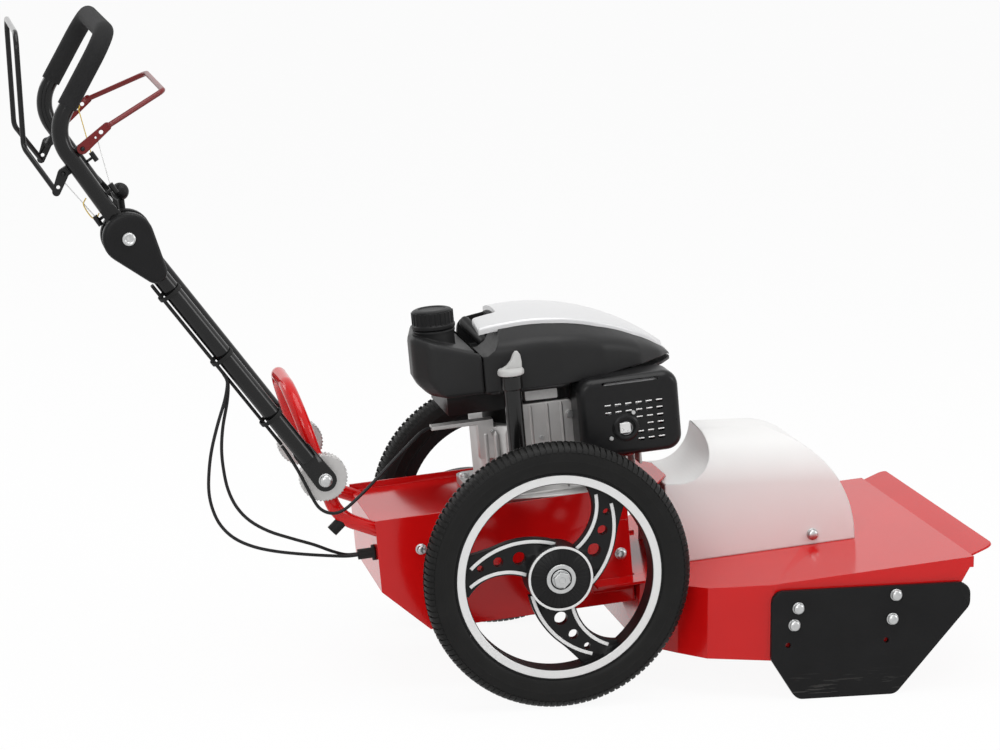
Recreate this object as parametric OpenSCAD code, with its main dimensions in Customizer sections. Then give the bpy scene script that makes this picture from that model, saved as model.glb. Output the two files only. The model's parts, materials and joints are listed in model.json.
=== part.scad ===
// Walk-behind string trimmer on two wheels: steel chassis box, cutting deck with skids, petrol engine,
// belt-driven line rotor, geared axle and a folding handle with two bails.
// X points forwards, Y to the left and Z up, with the ground at zero.

/* [Wheels] */
// Outer diameter of the tyres
tyre_d = 404; // [380:2:430]
// Width of the tyres
tyre_w = 48; // [40:1:54]
// Distance between the wheels' middle planes
track = 490; // [484:1:500]
// Diameter of the rim's seat
rim_d = 316; // [300:2:320]
// Width of the rim
rim_w = 36; // [30:1:40]
// Radial depth of the rim
rim_t = 16; // [10:1:20]
// Diameter of the hub
hub_d = 98; // [80:1:110]
// Width of the hub
hub_w = 50; // [44:1:56]
// Thickness of the spokes
spoke_t = 14; // [10:1:20]
// Diameter of the axle
axle_d = 20; // [16:1:24]

/* [Chassis] */
// Nose-up slope of the chassis against the ground
slope = 5.2; // [4.6:0.1:5.6]
// Width of the chassis box
box_w = 260; // [250:1:270]
// Reach of the box behind the axle
box_rear = 249; // [240:1:256]
// Reach of the box in front of the axle
box_front = 140; // [136:1:142]
// Height of the box's upper edges above the axle
box_top = 89; // [86:1:94]
// Depth of the box below the axle
box_bottom = 90; // [84:1:96]
// Thickness of the sheet steel
sheet = 3; // [2:0.5:4]
// How far the top plate lies below the box's upper edges
plate_drop = 10; // [8:1:12]
// Length of the top plate's nose in front of the box
nose_len = 84; // [60:1:90]

/* [Deck] */
// Width of the deck
deck_w = 556; // [550:1:570]
// Front edge of the deck, from the axle
deck_front = 640; // [630:1:650]
// Bend where the deck's sides start to taper, from the axle
deck_bend = 326; // [318:1:334]
// Rear wall of the deck, from the axle
deck_rear = 150; // [148:1:156]
// Depth of the deck's top below the axle
deck_drop = 53.3; // [50:0.1:56]
// Height of the skirt's lower edge above the ground
skirt_z = 60; // [54:1:66]
// Length of the folded front lip
lip_len = 38; // [30:1:44]
// Slope of the front lip
lip_slope = 23.6; // [15:0.2:32]
// Thickness of the skid plates
skid_t = 8; // [6:0.5:9]
// Length of the skid plates
skid_l = 312; // [306:1:318]
// Height of the skid plates
skid_h = 169; // [166:1:172]

/* [Hood] */
// Width of the belt hood
hood_w = 172; // [168:1:178]
// Radius of the hood's round front
hood_r = 180; // [176:1:184]
// Centre of the round front, from the axle
hood_x = 332; // [328:1:336]
// Rear edge of the hood, from the axle
hood_rear = 205; // [200:1:208]
// Wall of the hood
hood_wall = 3; // [2:0.5:4]

/* [Cutter] */
// Spindle's distance in front of the axle
cutter_x = 395; // [390:1:400]
// Depth of the cutter disc below the axle
cutter_drop = 152; // [146:1:156]
// Diameter of the cutter disc
disc_d = 180; // [150:1:200]
// Thickness of the cutter disc
disc_t = 6; // [4:0.5:8]
// Reach of the nylon lines from the spindle
line_reach = 230; // [210:1:232]
// Diameter of the nylon lines
line_d = 4; // [3:0.5:5]
// Diameter of the spindle
spindle_d = 25; // [20:1:28]
// Pitch diameter of the spindle pulley
spindle_pulley_d = 140; // [132:1:144]
// Pitch diameter of the crank pulley for the cutter
crank_pulley_d = 80; // [70:1:88]

/* [Drive] */
// Distance of the gearbox input behind the axle
input_x = 55; // [52:1:58]
// Pitch diameter of the gearbox pulley
input_pulley_d = 100; // [90:1:104]
// Pitch diameter of the crank pulley for the wheels
drive_pulley_d = 56; // [50:1:60]
// Width of the belts
belt_w = 10; // [8:0.5:11]
// Thickness of the belts
belt_t = 6; // [5:0.5:7]

/* [Engine] */
// Crankshaft's distance in front of the axle
crank_x = 45; // [42:1:48]
// Diameter of the crankshaft
crank_d = 24; // [20:1:26]
// Length of the crankcase
case_l = 170; // [160:1:176]
// Width of the crankcase
case_w = 176; // [166:1:180]
// Height of the crankcase over the top plate
case_h = 118; // [114:1:120]
// Length of the cowl
cowl_l = 312; // [306:1:316]
// Width of the cowl
cowl_w = 256; // [250:1:260]
// Height of the cowl's lower edge over the top plate
cowl_z = 182; // [180:1:184]
// Height of the cowl's sides at their highest
cowl_h = 101; // [96:1:104]
// Wall of the plastic shells
shell = 3; // [2.5:0.5:4]
// Length of the fuel tank
tank_l = 102; // [98:1:106]
// Width of the fuel tank
tank_w = 230; // [220:2:236]
// Height of the fuel tank at its rear
tank_h = 98; // [94:1:100]
// Diameter of the fuel cap
fuel_cap_d = 66; // [60:1:70]
// Diameter of the oil filler tube
oil_tube_d = 27; // [24:1:30]
// Width of the muffler guard
guard_w = 158; // [150:1:160]
// Height of the muffler guard
guard_h = 124; // [120:1:126]
// Depth of the muffler guard
guard_d = 56; // [52:1:58]

/* [Handle] */
// Handle pivot's distance behind the axle
pivot_x = 334; // [330:1:340]
// Height of the handle pivot
pivot_z = 341; // [336:1:346]
// Fold hinge's distance behind the axle
fold_x = 623; // [610:1:630]
// Height of the fold hinge
fold_z = 722; // [710:1:730]
// Distance between the upper tubes
handle_w = 400; // [394:1:410]
// Diameter of the lower tubes
lower_d = 26; // [24:1:28]
// Diameter of the upper tube
upper_d = 24; // [22:1:25]
// Wall of the handle tubes
tube_wall = 1.7; // [1.2:0.1:2.5]
// Diameter over the foam grip
grip_d = 29; // [27:0.5:32]
// Height of the handle's top bar
bar_z = 1012; // [1006:1:1018]
// Distance of the top bar behind the axle
bar_x = 647; // [642:1:652]
// Diameter of the hoop's tube
hoop_d = 22; // [20:1:24]
// Distance between the hoop's legs
hoop_w = 234; // [230:1:236]
// Diameter of the toothed discs
tooth_disc_d = 72; // [64:1:76]
// Diameter of the hinge clamp
clamp_d = 74; // [68:1:78]
// Diameter of the lever's ball knob
knob_d = 26; // [22:1:30]
// Diameter of the bails' rods
bail_d = 8; // [7:0.5:9]

/* [Cables] */
// Diameter of the control cables
cable_d = 5; // [4:0.5:6]
// Diameter of the bare inner wires
wire_d = 1.6; // [1.2:0.2:2]

/* [Hidden] */
$fn = 48;

// Colours of the finishes
red = "#c8141a";
black = "#202124";
pale = "#e6e4e2";
alloy = "#b9bbbd";
steel = "#9a9da0";
zinc = "#c9ccce";
amber = "#d8c46a";

// Clearances: between moving pieces, in running fits, and the overrun of cuts
gap = 0.3;
fit = 0.05;
over = 1;
span = 2400;
seam = 0.3;

// Heights and the shift that puts the origin under the middle of the part
axle_z = tyre_d / 2;
bail_reach = 124;
bail_back = bar_x + bail_reach;
front_x = deck_front + lip_len * cos(lip_slope) + sheet * sin(lip_slope);
mid_x = (front_x - bail_back - bail_d / 2) / 2;
plate_z = box_top - plate_drop;

// Frames of reference: the whole part, the sloping chassis, and one side of the machine
module placed() translate([-mid_x, 0, 0]) children();
module tilt() translate([0, 0, axle_z]) rotate([0, -slope, 0]) children();
module both() {
    children();
    mirror([0, 1, 0]) children();
}
module on_left() mirror([0, 1, 0]) children();

// Height of the deck's top at a level place
function deck_z(x) = axle_z + (x * sin(slope) - deck_drop) / cos(slope);
function unit(v) = v / norm(v);
function xz(v) = [v.x, v.z];

// Outline with every corner rounded to radius r
function fillet(p, r, n = 6) = [
    for (i = [0 : len(p) - 1])
        let (
            b = p[i],
            u = unit(p[(i + len(p) - 1) % len(p)] - b),
            v = unit(p[(i + 1) % len(p)] - b),
            h = acos(u * v) / 2,
            o = b + unit(u + v) * r / sin(h),
            s = b + u * r / tan(h) - o,
            e = b + v * r / tan(h) - o,
            a = atan2(s.y, s.x),
            d = (atan2(e.y, e.x) - a + 540) % 360 - 180
        )
        for (k = [0 : n]) o + r * [cos(a + d * k / n), sin(a + d * k / n)]
];

// Round bar between two points
module rod(a, b, d) {
    v = b - a;
    translate(a) rotate([0, acos(v.z / norm(v)), atan2(v.y, v.x)]) cylinder(h = norm(v), d = d);
}
// Round bar along Y
module pin_y(x, z, y0, y1, d) translate([x, y0, z]) rotate([-90, 0, 0]) cylinder(h = y1 - y0, d = d);
// Plate that stands along X and Z
module plate_y(p, y0, t) translate([0, y0 + t, 0]) rotate([90, 0, 0]) linear_extrude(t) polygon(p);
// Box given by its lowest corner and highest corner
module block(lo, hi) translate(lo) cube(hi - lo);
// Flat link with two round ends, lying in XY, each end drawn in n steps
module link(r1, r2, len, t, n = 20) {
    h = acos((r1 - r2) / len);
    linear_extrude(t) polygon(concat(
        [for (k = [0 : n]) let (a = 2 * h * k / n - h) [len + r2 * cos(a), r2 * sin(a)]],
        [for (k = [0 : n]) let (a = h + 2 * (180 - h) * k / n) [r1 * cos(a), r1 * sin(a)]]));
}
// The same link standing along X and Z, from point a to point b, between y0 and y0 + t
module link_y(a, b, r1, r2, y0, t) {
    v = b - a;
    translate([a.x, y0 + t, a.y]) rotate([90, 0, 0]) rotate(atan2(v.y, v.x)) link(r1, r2, norm(v), t);
}

// Straight part that a bend of radius r takes at corner i
function trim(p, r, i) = i == 0 || i == len(p) - 1 ? 0
    : r[i] * tan(acos(unit(p[i] - p[i - 1]) * unit(p[i + 1] - p[i])) / 2);
// Bent round bar along points p with bend radii r, its straight parts a hair slimmer and let into the bends
module bent(p, r, d) {
    for (i = [0 : len(p) - 2]) {
        u = unit(p[i + 1] - p[i]);
        rod(p[i] + u * (trim(p, r, i) - (i > 0 ? seam : 0)),
            p[i + 1] - u * (trim(p, r, i + 1) - (i < len(p) - 2 ? seam : 0)), d - 2 * fit);
    }
    for (i = [1 : len(p) - 2]) {
        u = unit(p[i] - p[i - 1]);
        w = unit(p[i + 1] - p[i]);
        n = unit(w - u * (u * w));
        c = p[i] - u * trim(p, r, i) + n * r[i];
        z = cross(-n, u);
        multmatrix([[-n.x, u.x, z.x, c.x], [-n.y, u.y, z.y, c.y], [-n.z, u.z, z.z, c.z], [0, 0, 0, 1]])
            rotate_extrude(angle = acos(u * w)) translate([r[i], 0]) circle(d = d);
    }
}

// Smooth curve through route points, with n steps between neighbours
function blend_at(a, b, c, d, t) = b
    + t / 2 * (c - a + t * (2 * a - 5 * b + 4 * c - d + t * (3 * (b - c) + d - a)));
function smooth(p, n) = [
    for (i = [0 : len(p) - 2]) for (k = [0 : n - 1])
        blend_at(p[max(i - 1, 0)], p[i], p[i + 1], p[min(i + 2, len(p) - 1)], k / n),
    p[len(p) - 1]
];
// Eight-sided tube along a curve that never runs along Y
module cord(p, d) {
    m = 8;
    q = len(p);
    ring = [for (i = [0 : q - 1])
        let (
            w = unit(p[min(i + 1, q - 1)] - p[max(i - 1, 0)]),
            s = unit(cross(w, [0, 1, 0])),
            t = cross(s, w)
        )
        for (k = [0 : m - 1]) p[i] + d / 2 * (cos(360 * k / m) * s + sin(360 * k / m) * t)];
    sides = [for (i = [0 : q - 2]) for (k = [0 : m - 1])
        let (a = i * m + k, b = i * m + (k + 1) % m)
        each [[a, a + m, b], [b, a + m, b + m]]];
    ends = [for (k = [1 : m - 2]) each [[0, k, k + 1], [(q - 1) * m, (q - 1) * m + k + 1, (q - 1) * m + k]]];
    polyhedron(ring, concat(sides, ends));
}

// Wheels, with each wheel drawn facing out along its own Z
spoke_outer_r = 126;
spoke_inner_r = 84;
spoke_outer_at = [-42, -72];
spoke_inner_at = [-78, -75];
spoke_holes = [[-59, 29], [-91, 25], [-118, 16]];
spoke_hole_d = [20, 15, 10];
spoke_low = 42;
spokes = 3;
washer_d = 44;
washer_t = 4;
hub_bolt_d = 10;
hub_bolt_l = 30;
hub_head_d = 26;
hub_head_t = 8;
tyre_shares = [[0, 0.79], [0.27, 0.97], [0.6, 1], [0.87, 0.82], [1, 0.42]];

module wheel_place() translate([0, -track / 2, axle_z]) rotate([90, 0, 0]) children();

module tyre() color(black) wheel_place() rotate_extrude() {
    r0 = rim_d / 2 + fit;
    h = tyre_d / 2 - r0;
    polygon([
        for (s = tyre_shares) [r0 + h * s.x, tyre_w / 2 * s.y],
        for (i = [len(tyre_shares) - 1 : -1 : 0]) [r0 + h * tyre_shares[i].x, -tyre_w / 2 * tyre_shares[i].y]
    ]);
}
module spoke() difference() {
    intersection() {
        translate([0, 0, -spoke_t / 2]) cylinder(h = spoke_t, r = rim_d / 2 - rim_t / 2);
        translate([spoke_outer_at.x, spoke_outer_at.y, -spoke_t / 2])
            cylinder(h = spoke_t, r = spoke_outer_r);
        block([-rim_d / 2, -spoke_low, -spoke_t / 2], [0, hub_d, spoke_t / 2]);
    }
    translate([spoke_inner_at.x, spoke_inner_at.y, -spoke_t / 2 - over])
        cylinder(h = spoke_t + 2 * over, r = spoke_inner_r);
    for (i = [0 : len(spoke_holes) - 1])
        translate([spoke_holes[i].x, spoke_holes[i].y, -spoke_t / 2 - over])
            cylinder(h = spoke_t + 2 * over, d = spoke_hole_d[i]);
}
module wheel() color(black) wheel_place() difference() {
    union() {
        rotate_extrude() translate([rim_d / 2 - rim_t, -rim_w / 2]) square([rim_t, rim_w]);
        translate([0, 0, -hub_w / 2]) cylinder(h = hub_w, d = hub_d);
        for (i = [0 : spokes - 1]) rotate(360 / spokes * i) spoke();
    }
    translate([0, 0, -hub_w / 2 - over]) cylinder(h = hub_w + 2 * over, d = axle_d + 2 * fit);
}
axle_end = track / 2 + hub_w / 2 + gap;
module axle() color(steel) difference() {
    pin_y(0, axle_z, -axle_end, axle_end, axle_d);
    both() pin_y(0, axle_z, -axle_end - over, -axle_end + hub_bolt_l, hub_bolt_d + 2 * fit);
}
module hub_bolts() color(zinc) both() {
    pin_y(0, axle_z, -axle_end - washer_t, -axle_end, washer_d);
    pin_y(0, axle_z, -axle_end - washer_t - hub_head_t, -axle_end - washer_t, hub_head_d);
    pin_y(0, axle_z, -axle_end, -axle_end + hub_bolt_l - over, hub_bolt_d);
}

// Chassis box, open to the belts at its front
chamfer_x = 69;
chamfer_z = 68;
bearing_d = 42;
bearing_t = 14;
belt_slot_w = 160;
belt_slot_h = 40;
belt_z = 50;
crank_hole_d = 52;
engine_bolt_d = 8;
engine_bolt_in = 20;
gland_y = 100;
gland_z = 34;
gland_d = 16;
gland_len = 26.7;
nose_w = 180;
nose_tip_w = 90;
nose_share = 0.7;
bracket_t = 4;
bracket_l = 64;
bracket_h = 110;
bracket_low = 70;
bracket_foot_w = 42;
bracket_foot_l = 66;
bracket_bolt_d = 8;
bracket_bolt_share = 0.25;
box_half = box_w / 2;

module box_outline() polygon([[-box_rear, box_top], [-box_rear, chamfer_z - box_bottom],
    [chamfer_x - box_rear, -box_bottom], [box_front, -box_bottom], [box_front, box_top]]);
module box_hollow() polygon([[sheet - box_rear, plate_z - sheet], [sheet - box_rear, chamfer_z - box_bottom],
    [chamfer_x - box_rear, sheet - box_bottom], [box_front - sheet, sheet - box_bottom],
    [box_front - sheet, plate_z - sheet]]);
module stand_y(half) translate([0, half, 0]) rotate([90, 0, 0]) linear_extrude(2 * half) children();
module engine_bolt_places() for (sx = [-1, 1], sy = [-1, 1])
    translate([case_x + sx * (case_l + flange_out) / 2, sy * (case_w / 2 - engine_bolt_in), plate_z])
        children();
bracket_front = box_front - over;
bracket_bolt_z = -12;
idler_pin_d = 10;
idler_ahead = 10;
idler_side = 105;
idler_at = [box_front + idler_ahead, idler_side];
bracket_bolt_x = bracket_front - bracket_l * bracket_bolt_share;
module box_brackets() both() {
    block([bracket_front - bracket_l, -box_half - bracket_t, -bracket_low],
        [bracket_front, -box_half, bracket_h - bracket_low]);
    block([bracket_front - bracket_l, -box_half - bracket_foot_w, -deck_drop],
        [bracket_front + bracket_foot_l, -box_half, bracket_t - deck_drop]);
}
module chassis_box() color(red) tilt() difference() {
    union() {
        difference() {
            stand_y(box_half) box_outline();
            stand_y(box_half - sheet) box_hollow();
            block([-box_rear - over, sheet - box_half, plate_z],
                [box_front + over, box_half - sheet, box_top + over]);
        }
        translate([0, 0, plate_z - sheet]) linear_extrude(sheet)
            polygon([[box_front - sheet, -box_half], [box_front + nose_len * nose_share, -nose_w / 2],
                [box_front + nose_len, -nose_tip_w / 2], [box_front + nose_len, nose_tip_w / 2],
                [box_front + nose_len * nose_share, nose_w / 2], [box_front - sheet, box_half]]);
        box_brackets();
        translate([idler_at.x, idler_at.y, belt_z - belt_w])
            cylinder(h = plate_z - sheet - belt_z + belt_w, d = idler_pin_d);
    }
    pin_y(0, 0, -box_w, box_w, bearing_d + 2 * fit);
    block([box_front - 2 * sheet, -belt_slot_w / 2, belt_z - belt_slot_h / 2],
        [box_front + over, belt_slot_w / 2, belt_z + belt_slot_h / 2]);
    translate([crank_x, 0, plate_z - 2 * sheet]) cylinder(h = 3 * sheet, d = crank_hole_d);
    engine_bolt_places() translate([0, 0, -2 * sheet]) cylinder(h = 3 * sheet, d = engine_bolt_d + 2 * gap);
    translate([-box_rear - over, -gland_y, gland_z]) rotate([0, 90, 0])
        cylinder(h = 3 * sheet, d = gland_d + 2 * fit);
    both() pin_y(bracket_bolt_x, bracket_bolt_z, -box_half - 2 * bracket_t, -box_half + 2 * sheet,
        bracket_bolt_d + 2 * gap);
    rotate([0, slope, 0]) translate([0, 0, -axle_z]) hoop_bar(hoop_d + 2 * fit);
}

// Deck pan with its folded front lip
deck_mid_x = 232;
deck_mid_w = 494;
deck_shoulder_x = 196;
deck_shoulder_w = 416;
deck_rear_w = 300;
rake_low_x = 545;
rake_mid = [620, 165];
rake_top = [634, 190];
lip_w = 530;
lip_corner = 14;
housing_hole_d = 66;
tab_x = 443;
tab_l = 30;
tab_h = 42;
tab_t = 4;
hood_bolt_d = 8;
hood_bolt_rise = 16;
skid_rear = 321;
skid_corner = 18;
skid_bolt_d = 8;
skid_head_d = 16;
head_t = 5;
skid_shares = [[0, 0.373], [0.13, 0], [0.63, 0], [1, 0.79], [1, 1], [0, 1]];
skid_bolt_shares = [[0.131, 0.84], [0.112, 0.686], [0.622, 0.917], [0.606, 0.698]];
skid_spare_shares = [[0.083, 0.503], [0.577, 0.503]];

// Outline of the deck from above, with a given front edge
function deck_plan(front) = let (half = [[deck_rear, deck_rear_w], [deck_shoulder_x, deck_shoulder_w],
    [deck_mid_x, deck_mid_w], [deck_bend, deck_w], [front, deck_w]])
    [for (p = half) [p.x, -p.y / 2], for (i = [len(half) - 1 : -1 : 0]) [half[i].x, half[i].y / 2]];
// Outline moved inwards by t, corners kept sharp
function inset(p, t) = [for (i = [0 : len(p) - 1])
    let (
        a = unit(p[i] - p[(i + len(p) - 1) % len(p)]),
        b = unit(p[(i + 1) % len(p)] - p[i]),
        m = [-a.y, a.x],
        n = [-b.y, b.x]
    )
    p[i] + (m + n) * t / (1 + m * n)];
function skid_point(s) = [skid_rear + skid_l * s.x, skid_h * s.y];
// Everything below the deck's top plane, lowered by t
module below_deck(t) tilt() translate([-span, -span, -deck_drop - t - span]) cube([2 * span, 2 * span, span]);
module skid_holes(shares, d) for (s = shares) both()
    pin_y(skid_point(s).x, skid_point(s).y, -deck_w / 2 - skid_t - 2 * over, -deck_w / 2 + 2 * sheet, d);
module hood_tab() both() difference() {
    block([tab_x - tab_l / 2, -hood_w / 2 + hood_wall + gap, deck_z(tab_x - tab_l)],
        [tab_x + tab_l / 2, -hood_w / 2 + hood_wall + gap + tab_t, deck_z(tab_x) + tab_h]);
    below_deck(sheet / 2);
    hood_bolt_hole();
}
hood_bolt_z = deck_z(tab_x) + hood_bolt_rise;
module hood_bolt_hole() pin_y(tab_x, hood_bolt_z, -hood_w, 0, hood_bolt_d + 2 * gap);
module deck() color(red) {
    difference() {
        intersection() {
            translate([0, 0, skirt_z]) linear_extrude(span) polygon(deck_plan(deck_front));
            below_deck(0);
        }
        intersection() {
            translate([0, 0, skirt_z - over]) linear_extrude(span)
                polygon(inset(deck_plan(deck_front + sheet + over), sheet));
            below_deck(sheet);
        }
        plate_y([[rake_low_x, skirt_z - over], rake_mid, rake_top, [deck_front + over, rake_top.y],
            [deck_front + over, skirt_z - over]], -deck_w / 2 - over, deck_w + 2 * over);
        tilt() translate([cutter_x, 0, -deck_drop - 2 * sheet]) cylinder(h = 3 * sheet, d = housing_hole_d);
        skid_holes(skid_bolt_shares, skid_bolt_d + 2 * gap);
        housing_bolts(housing_bolt_d + 2 * gap);
    }
    translate([deck_front, 0, deck_z(deck_front)]) rotate([0, -lip_slope, 0]) translate([0, 0, -sheet])
        linear_extrude(sheet) polygon(concat([[-sheet, lip_w / 2], [-sheet, -lip_w / 2]],
            [for (k = [0 : 6]) [lip_len - lip_corner + lip_corner * sin(15 * k),
                lip_corner * (1 - cos(15 * k)) - lip_w / 2]],
            [for (k = [6 : -1 : 0]) [lip_len - lip_corner + lip_corner * sin(15 * k),
                lip_w / 2 - lip_corner * (1 - cos(15 * k))]]));
    hood_tab();
}
module skid() color(black) difference() {
    plate_y(fillet([for (s = skid_shares) skid_point(s)], skid_corner), -deck_w / 2 - gap - skid_t, skid_t);
    skid_holes(skid_bolt_shares, skid_bolt_d + 2 * gap);
    skid_holes(skid_spare_shares, skid_bolt_d + 2 * gap);
}

// Belt hood, an arched shell on the deck with a round front and a walled bite for the engine
hood_rise = 16;
bite_r = 50;
bite_x = 229;
bite_z = 345;
hood_z = deck_z(hood_x) + hood_rise;
hood_spring = hood_z + hood_r - hood_w / 2;
module hood_form(t) {
    rear = hood_rear - (t > 0 ? over : 0);
    intersection() {
        union() {
            pin_y(hood_x, hood_z, -hood_w, hood_w, 2 * (hood_r - t));
            block([rear, -hood_w, 0], [hood_x, hood_w, hood_z + hood_r - t]);
            block([hood_x - over, -hood_w, 0], [hood_x + hood_r - t, hood_w, hood_z]);
        }
        union() {
            block([rear, t - hood_w / 2, 0], [span, hood_w / 2 - t, hood_spring]);
            translate([rear, 0, hood_spring]) rotate([0, 90, 0]) cylinder(h = span, r = hood_w / 2 - t);
        }
    }
}
// Room for the engine, grown by t: flat from the rear, then half a circle in n steps
module bite(t, n = 24) plate_y(concat([[0, span], [0, bite_z - bite_r - t]],
    [for (k = [0 : n]) let (a = 180 * k / n - 90) [bite_x, bite_z] + (bite_r + t) * [cos(a), sin(a)]],
    [[bite_x, span]]), -hood_w, 2 * hood_w);
module belt_hood() color(pale) difference() {
    hood_form(0);
    difference() {
        hood_form(hood_wall);
        bite(hood_wall);
    }
    below_deck(-gap);
    bite(0);
    both() hood_bolt_hole();
}

// Bolts of the body: skids, hood, engine, brackets and handle pivot
pivot_bolt_d = 10;
pivot_head_d = 18;
module bolt_y(x, z, y, d, head_d, len) {
    pin_y(x, z, y - head_t, y, head_d);
    pin_y(x, z, y, y + len, d);
}
module body_bolts() color(zinc) {
    for (s = skid_bolt_shares) both() bolt_y(skid_point(s).x, skid_point(s).y, -deck_w / 2 - gap - skid_t,
        skid_bolt_d, skid_head_d, 2 * skid_t);
    both() bolt_y(tab_x, hood_bolt_z, -hood_w / 2, hood_bolt_d, skid_head_d, 2 * skid_t);
    tilt() {
        both() bolt_y(bracket_bolt_x, bracket_bolt_z, -box_half - bracket_t,
            bracket_bolt_d, skid_head_d, 2 * skid_t);
        engine_bolt_places() {
            translate([0, 0, flange_t]) cylinder(h = head_t, d = skid_head_d);
            translate([0, 0, -2 * skid_t]) cylinder(h = flange_t + 2 * skid_t, d = engine_bolt_d);
        }
        housing_bolt_places() {
            translate([0, 0, housing_flange_t]) cylinder(h = head_t, d = 2 * housing_bolt_d);
            translate([0, 0, -2 * skid_t]) cylinder(h = housing_flange_t + 2 * skid_t, d = housing_bolt_d);
        }
    }
    both() bolt_y(-pivot_x, pivot_z, -eye_out - gap, pivot_bolt_d, pivot_head_d, eye_out - hoop_w / 2 + gap);
}

// Hoop behind the box, which carries the handle's toothed discs
hoop_lean = 18.7;
hoop_up = 132;
hoop_down = 70;
hoop_back = 82;
hoop_rise = 20;
hoop_bend = 60;
hoop_arch = 80;
teeth = 40;
tooth_h = 2;
disc_fixed_t = 17;
disc_seat = 2;
disc_moving_t = 6;
hoop_dir = [-sin(hoop_lean), 0, cos(hoop_lean)];
pivot_at = [-pivot_x, 0, pivot_z];
hoop_corner = pivot_at - hoop_down * hoop_dir;
hoop_top = pivot_at + hoop_up * hoop_dir;
hoop_start = hoop_corner + hoop_back * [cos(hoop_rise), 0, -sin(hoop_rise)];
function at_y(p, y) = [p.x, y, p.z];
function mirrored(p) = [p.x, -p.y, p.z];
module hoop_bar(d) {
    leg = [for (p = [hoop_start, hoop_corner, hoop_top]) at_y(p, -hoop_w / 2)];
    bent([leg[0], leg[1], leg[2], mirrored(leg[2]), mirrored(leg[1]), mirrored(leg[0])],
        [0, hoop_bend, hoop_arch, hoop_arch, hoop_bend, 0], d);
}
module pivot_bore() both() pin_y(-pivot_x, pivot_z, -hoop_w, -hoop_w / 2 + hoop_d, pivot_bolt_d + 2 * fit);
module hoop() color(red) difference() {
    hoop_bar(hoop_d);
    pivot_bore();
}
disc_face = hoop_w / 2 + disc_seat + disc_fixed_t;
eye_in = disc_face + disc_moving_t;
eye_t = 16;
eye_out = eye_in + eye_t;
module toothed(d, y0, t) translate([-pivot_x, y0 + t, pivot_z]) rotate([90, 0, 0]) linear_extrude(t)
    polygon([for (k = [0 : 2 * teeth - 1]) let (a = 180 * k / teeth)
        (d / 2 - tooth_h * (k % 2)) * [cos(a), sin(a)]]);
module hoop_discs() color(alloy) difference() {
    both() toothed(tooth_disc_d, -disc_face, disc_fixed_t);
    hoop_bar(hoop_d + 2 * fit);
    pivot_bore();
}
bumper_d = 18;
bumper_l = 12;
bumper_share = 0.23;
module hoop_bumpers() color(black) difference() {
    c = at_y(hoop_corner, -hoop_w / 2);
    both() rod(c + hoop_bend * bumper_share * [1, 0, 0],
        c + (hoop_d / 2 + bumper_l) * [-sin(hoop_rise), 0, -cos(hoop_rise)], bumper_d);
    hoop_bar(hoop_d + 2 * fit);
}
gland_flange_d = 24;
gland_flange_t = 5;
module cable_gland() color(black) tilt() translate([-box_rear, -gland_y, gland_z]) rotate([0, -90, 0]) {
    cylinder(h = gland_len, d = gland_d);
    cylinder(h = gland_flange_t, d = gland_flange_d);
    translate([0, 0, -sheet]) cylinder(h = sheet, d = gland_d);
}

// Wheel drive inside the box
gearbox_rear = 90;
gearbox_front = 35;
gearbox_half = 48;
gearbox_top = 8;
gearbox_low = 70;
foot_half = 30;
input_d = 18;
input_depth = 40;
drive_z = 22;
rim_lip = 5;
rim_edge = 4;
module gearbox() color(alloy) tilt() difference() {
    union() {
        block([-gearbox_rear, -gearbox_half, -gearbox_low], [gearbox_front, gearbox_half, gearbox_top]);
        block([-foot_half - input_x / 2, -foot_half, sheet - box_bottom],
            [foot_half - input_x / 2, foot_half, -gearbox_low]);
    }
    pin_y(0, 0, -gearbox_half - over, gearbox_half + over, axle_d + 2 * fit);
    translate([-input_x, 0, gearbox_top - input_depth])
        cylinder(h = input_depth + over, d = input_d + 2 * fit);
}
// Pulley with one flat groove for a belt, centred on its own height
module pulley(d) rotate_extrude() {
    w = belt_w / 2 + gap + rim_edge;
    g = belt_w / 2 + gap;
    polygon([[0, -w], [d / 2 + rim_lip, -w], [d / 2 + rim_lip, -g], [d / 2 - belt_t / 2 - gap, -g],
        [d / 2 - belt_t / 2 - gap, g], [d / 2 + rim_lip, g], [d / 2 + rim_lip, w], [0, w]]);
}
module input_pulley() color(steel) tilt() translate([-input_x, 0, 0]) {
    translate([0, 0, drive_z]) pulley(input_pulley_d);
    translate([0, 0, gearbox_top - input_depth + gap])
        cylinder(h = drive_z - gearbox_top + input_depth, d = input_d);
}
module belt(x1, d1, x2, d2, z) translate([x1, 0, z - belt_w / 2]) difference() {
    link(d1 / 2 + belt_t / 2, d2 / 2 + belt_t / 2, x2 - x1, belt_w);
    translate([0, 0, -over]) link(d1 / 2 - belt_t / 2, d2 / 2 - belt_t / 2, x2 - x1, belt_w + 2 * over);
}
module belts() color(black) tilt() {
    belt(crank_x, crank_pulley_d, cutter_x, spindle_pulley_d, belt_z);
    belt(-input_x, input_pulley_d, crank_x, drive_pulley_d, drive_z);
}
arm_z = belt_z + belt_w / 2 + 2 * rim_edge;
arm_t = 5;
arm_r = 10;
arm_tip_r = 8;
idler_d = 36;
idler_w = 14;
idler_reach = [22, -30];
module idler() color(steel) tilt() translate([idler_at.x, idler_at.y, 0]) difference() {
    union() {
        translate([0, 0, arm_z]) rotate(atan2(idler_reach.y, idler_reach.x))
            link(arm_r, arm_tip_r, norm(idler_reach), arm_t);
        translate([idler_reach.x, idler_reach.y, belt_z - idler_w / 2]) {
            cylinder(h = idler_w, d = idler_d);
            cylinder(h = arm_z - belt_z + idler_w / 2 + arm_t / 2, d = arm_r);
        }
    }
    translate([0, 0, arm_z - over]) cylinder(h = arm_t + 2 * over, d = idler_pin_d + 2 * fit);
}

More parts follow.
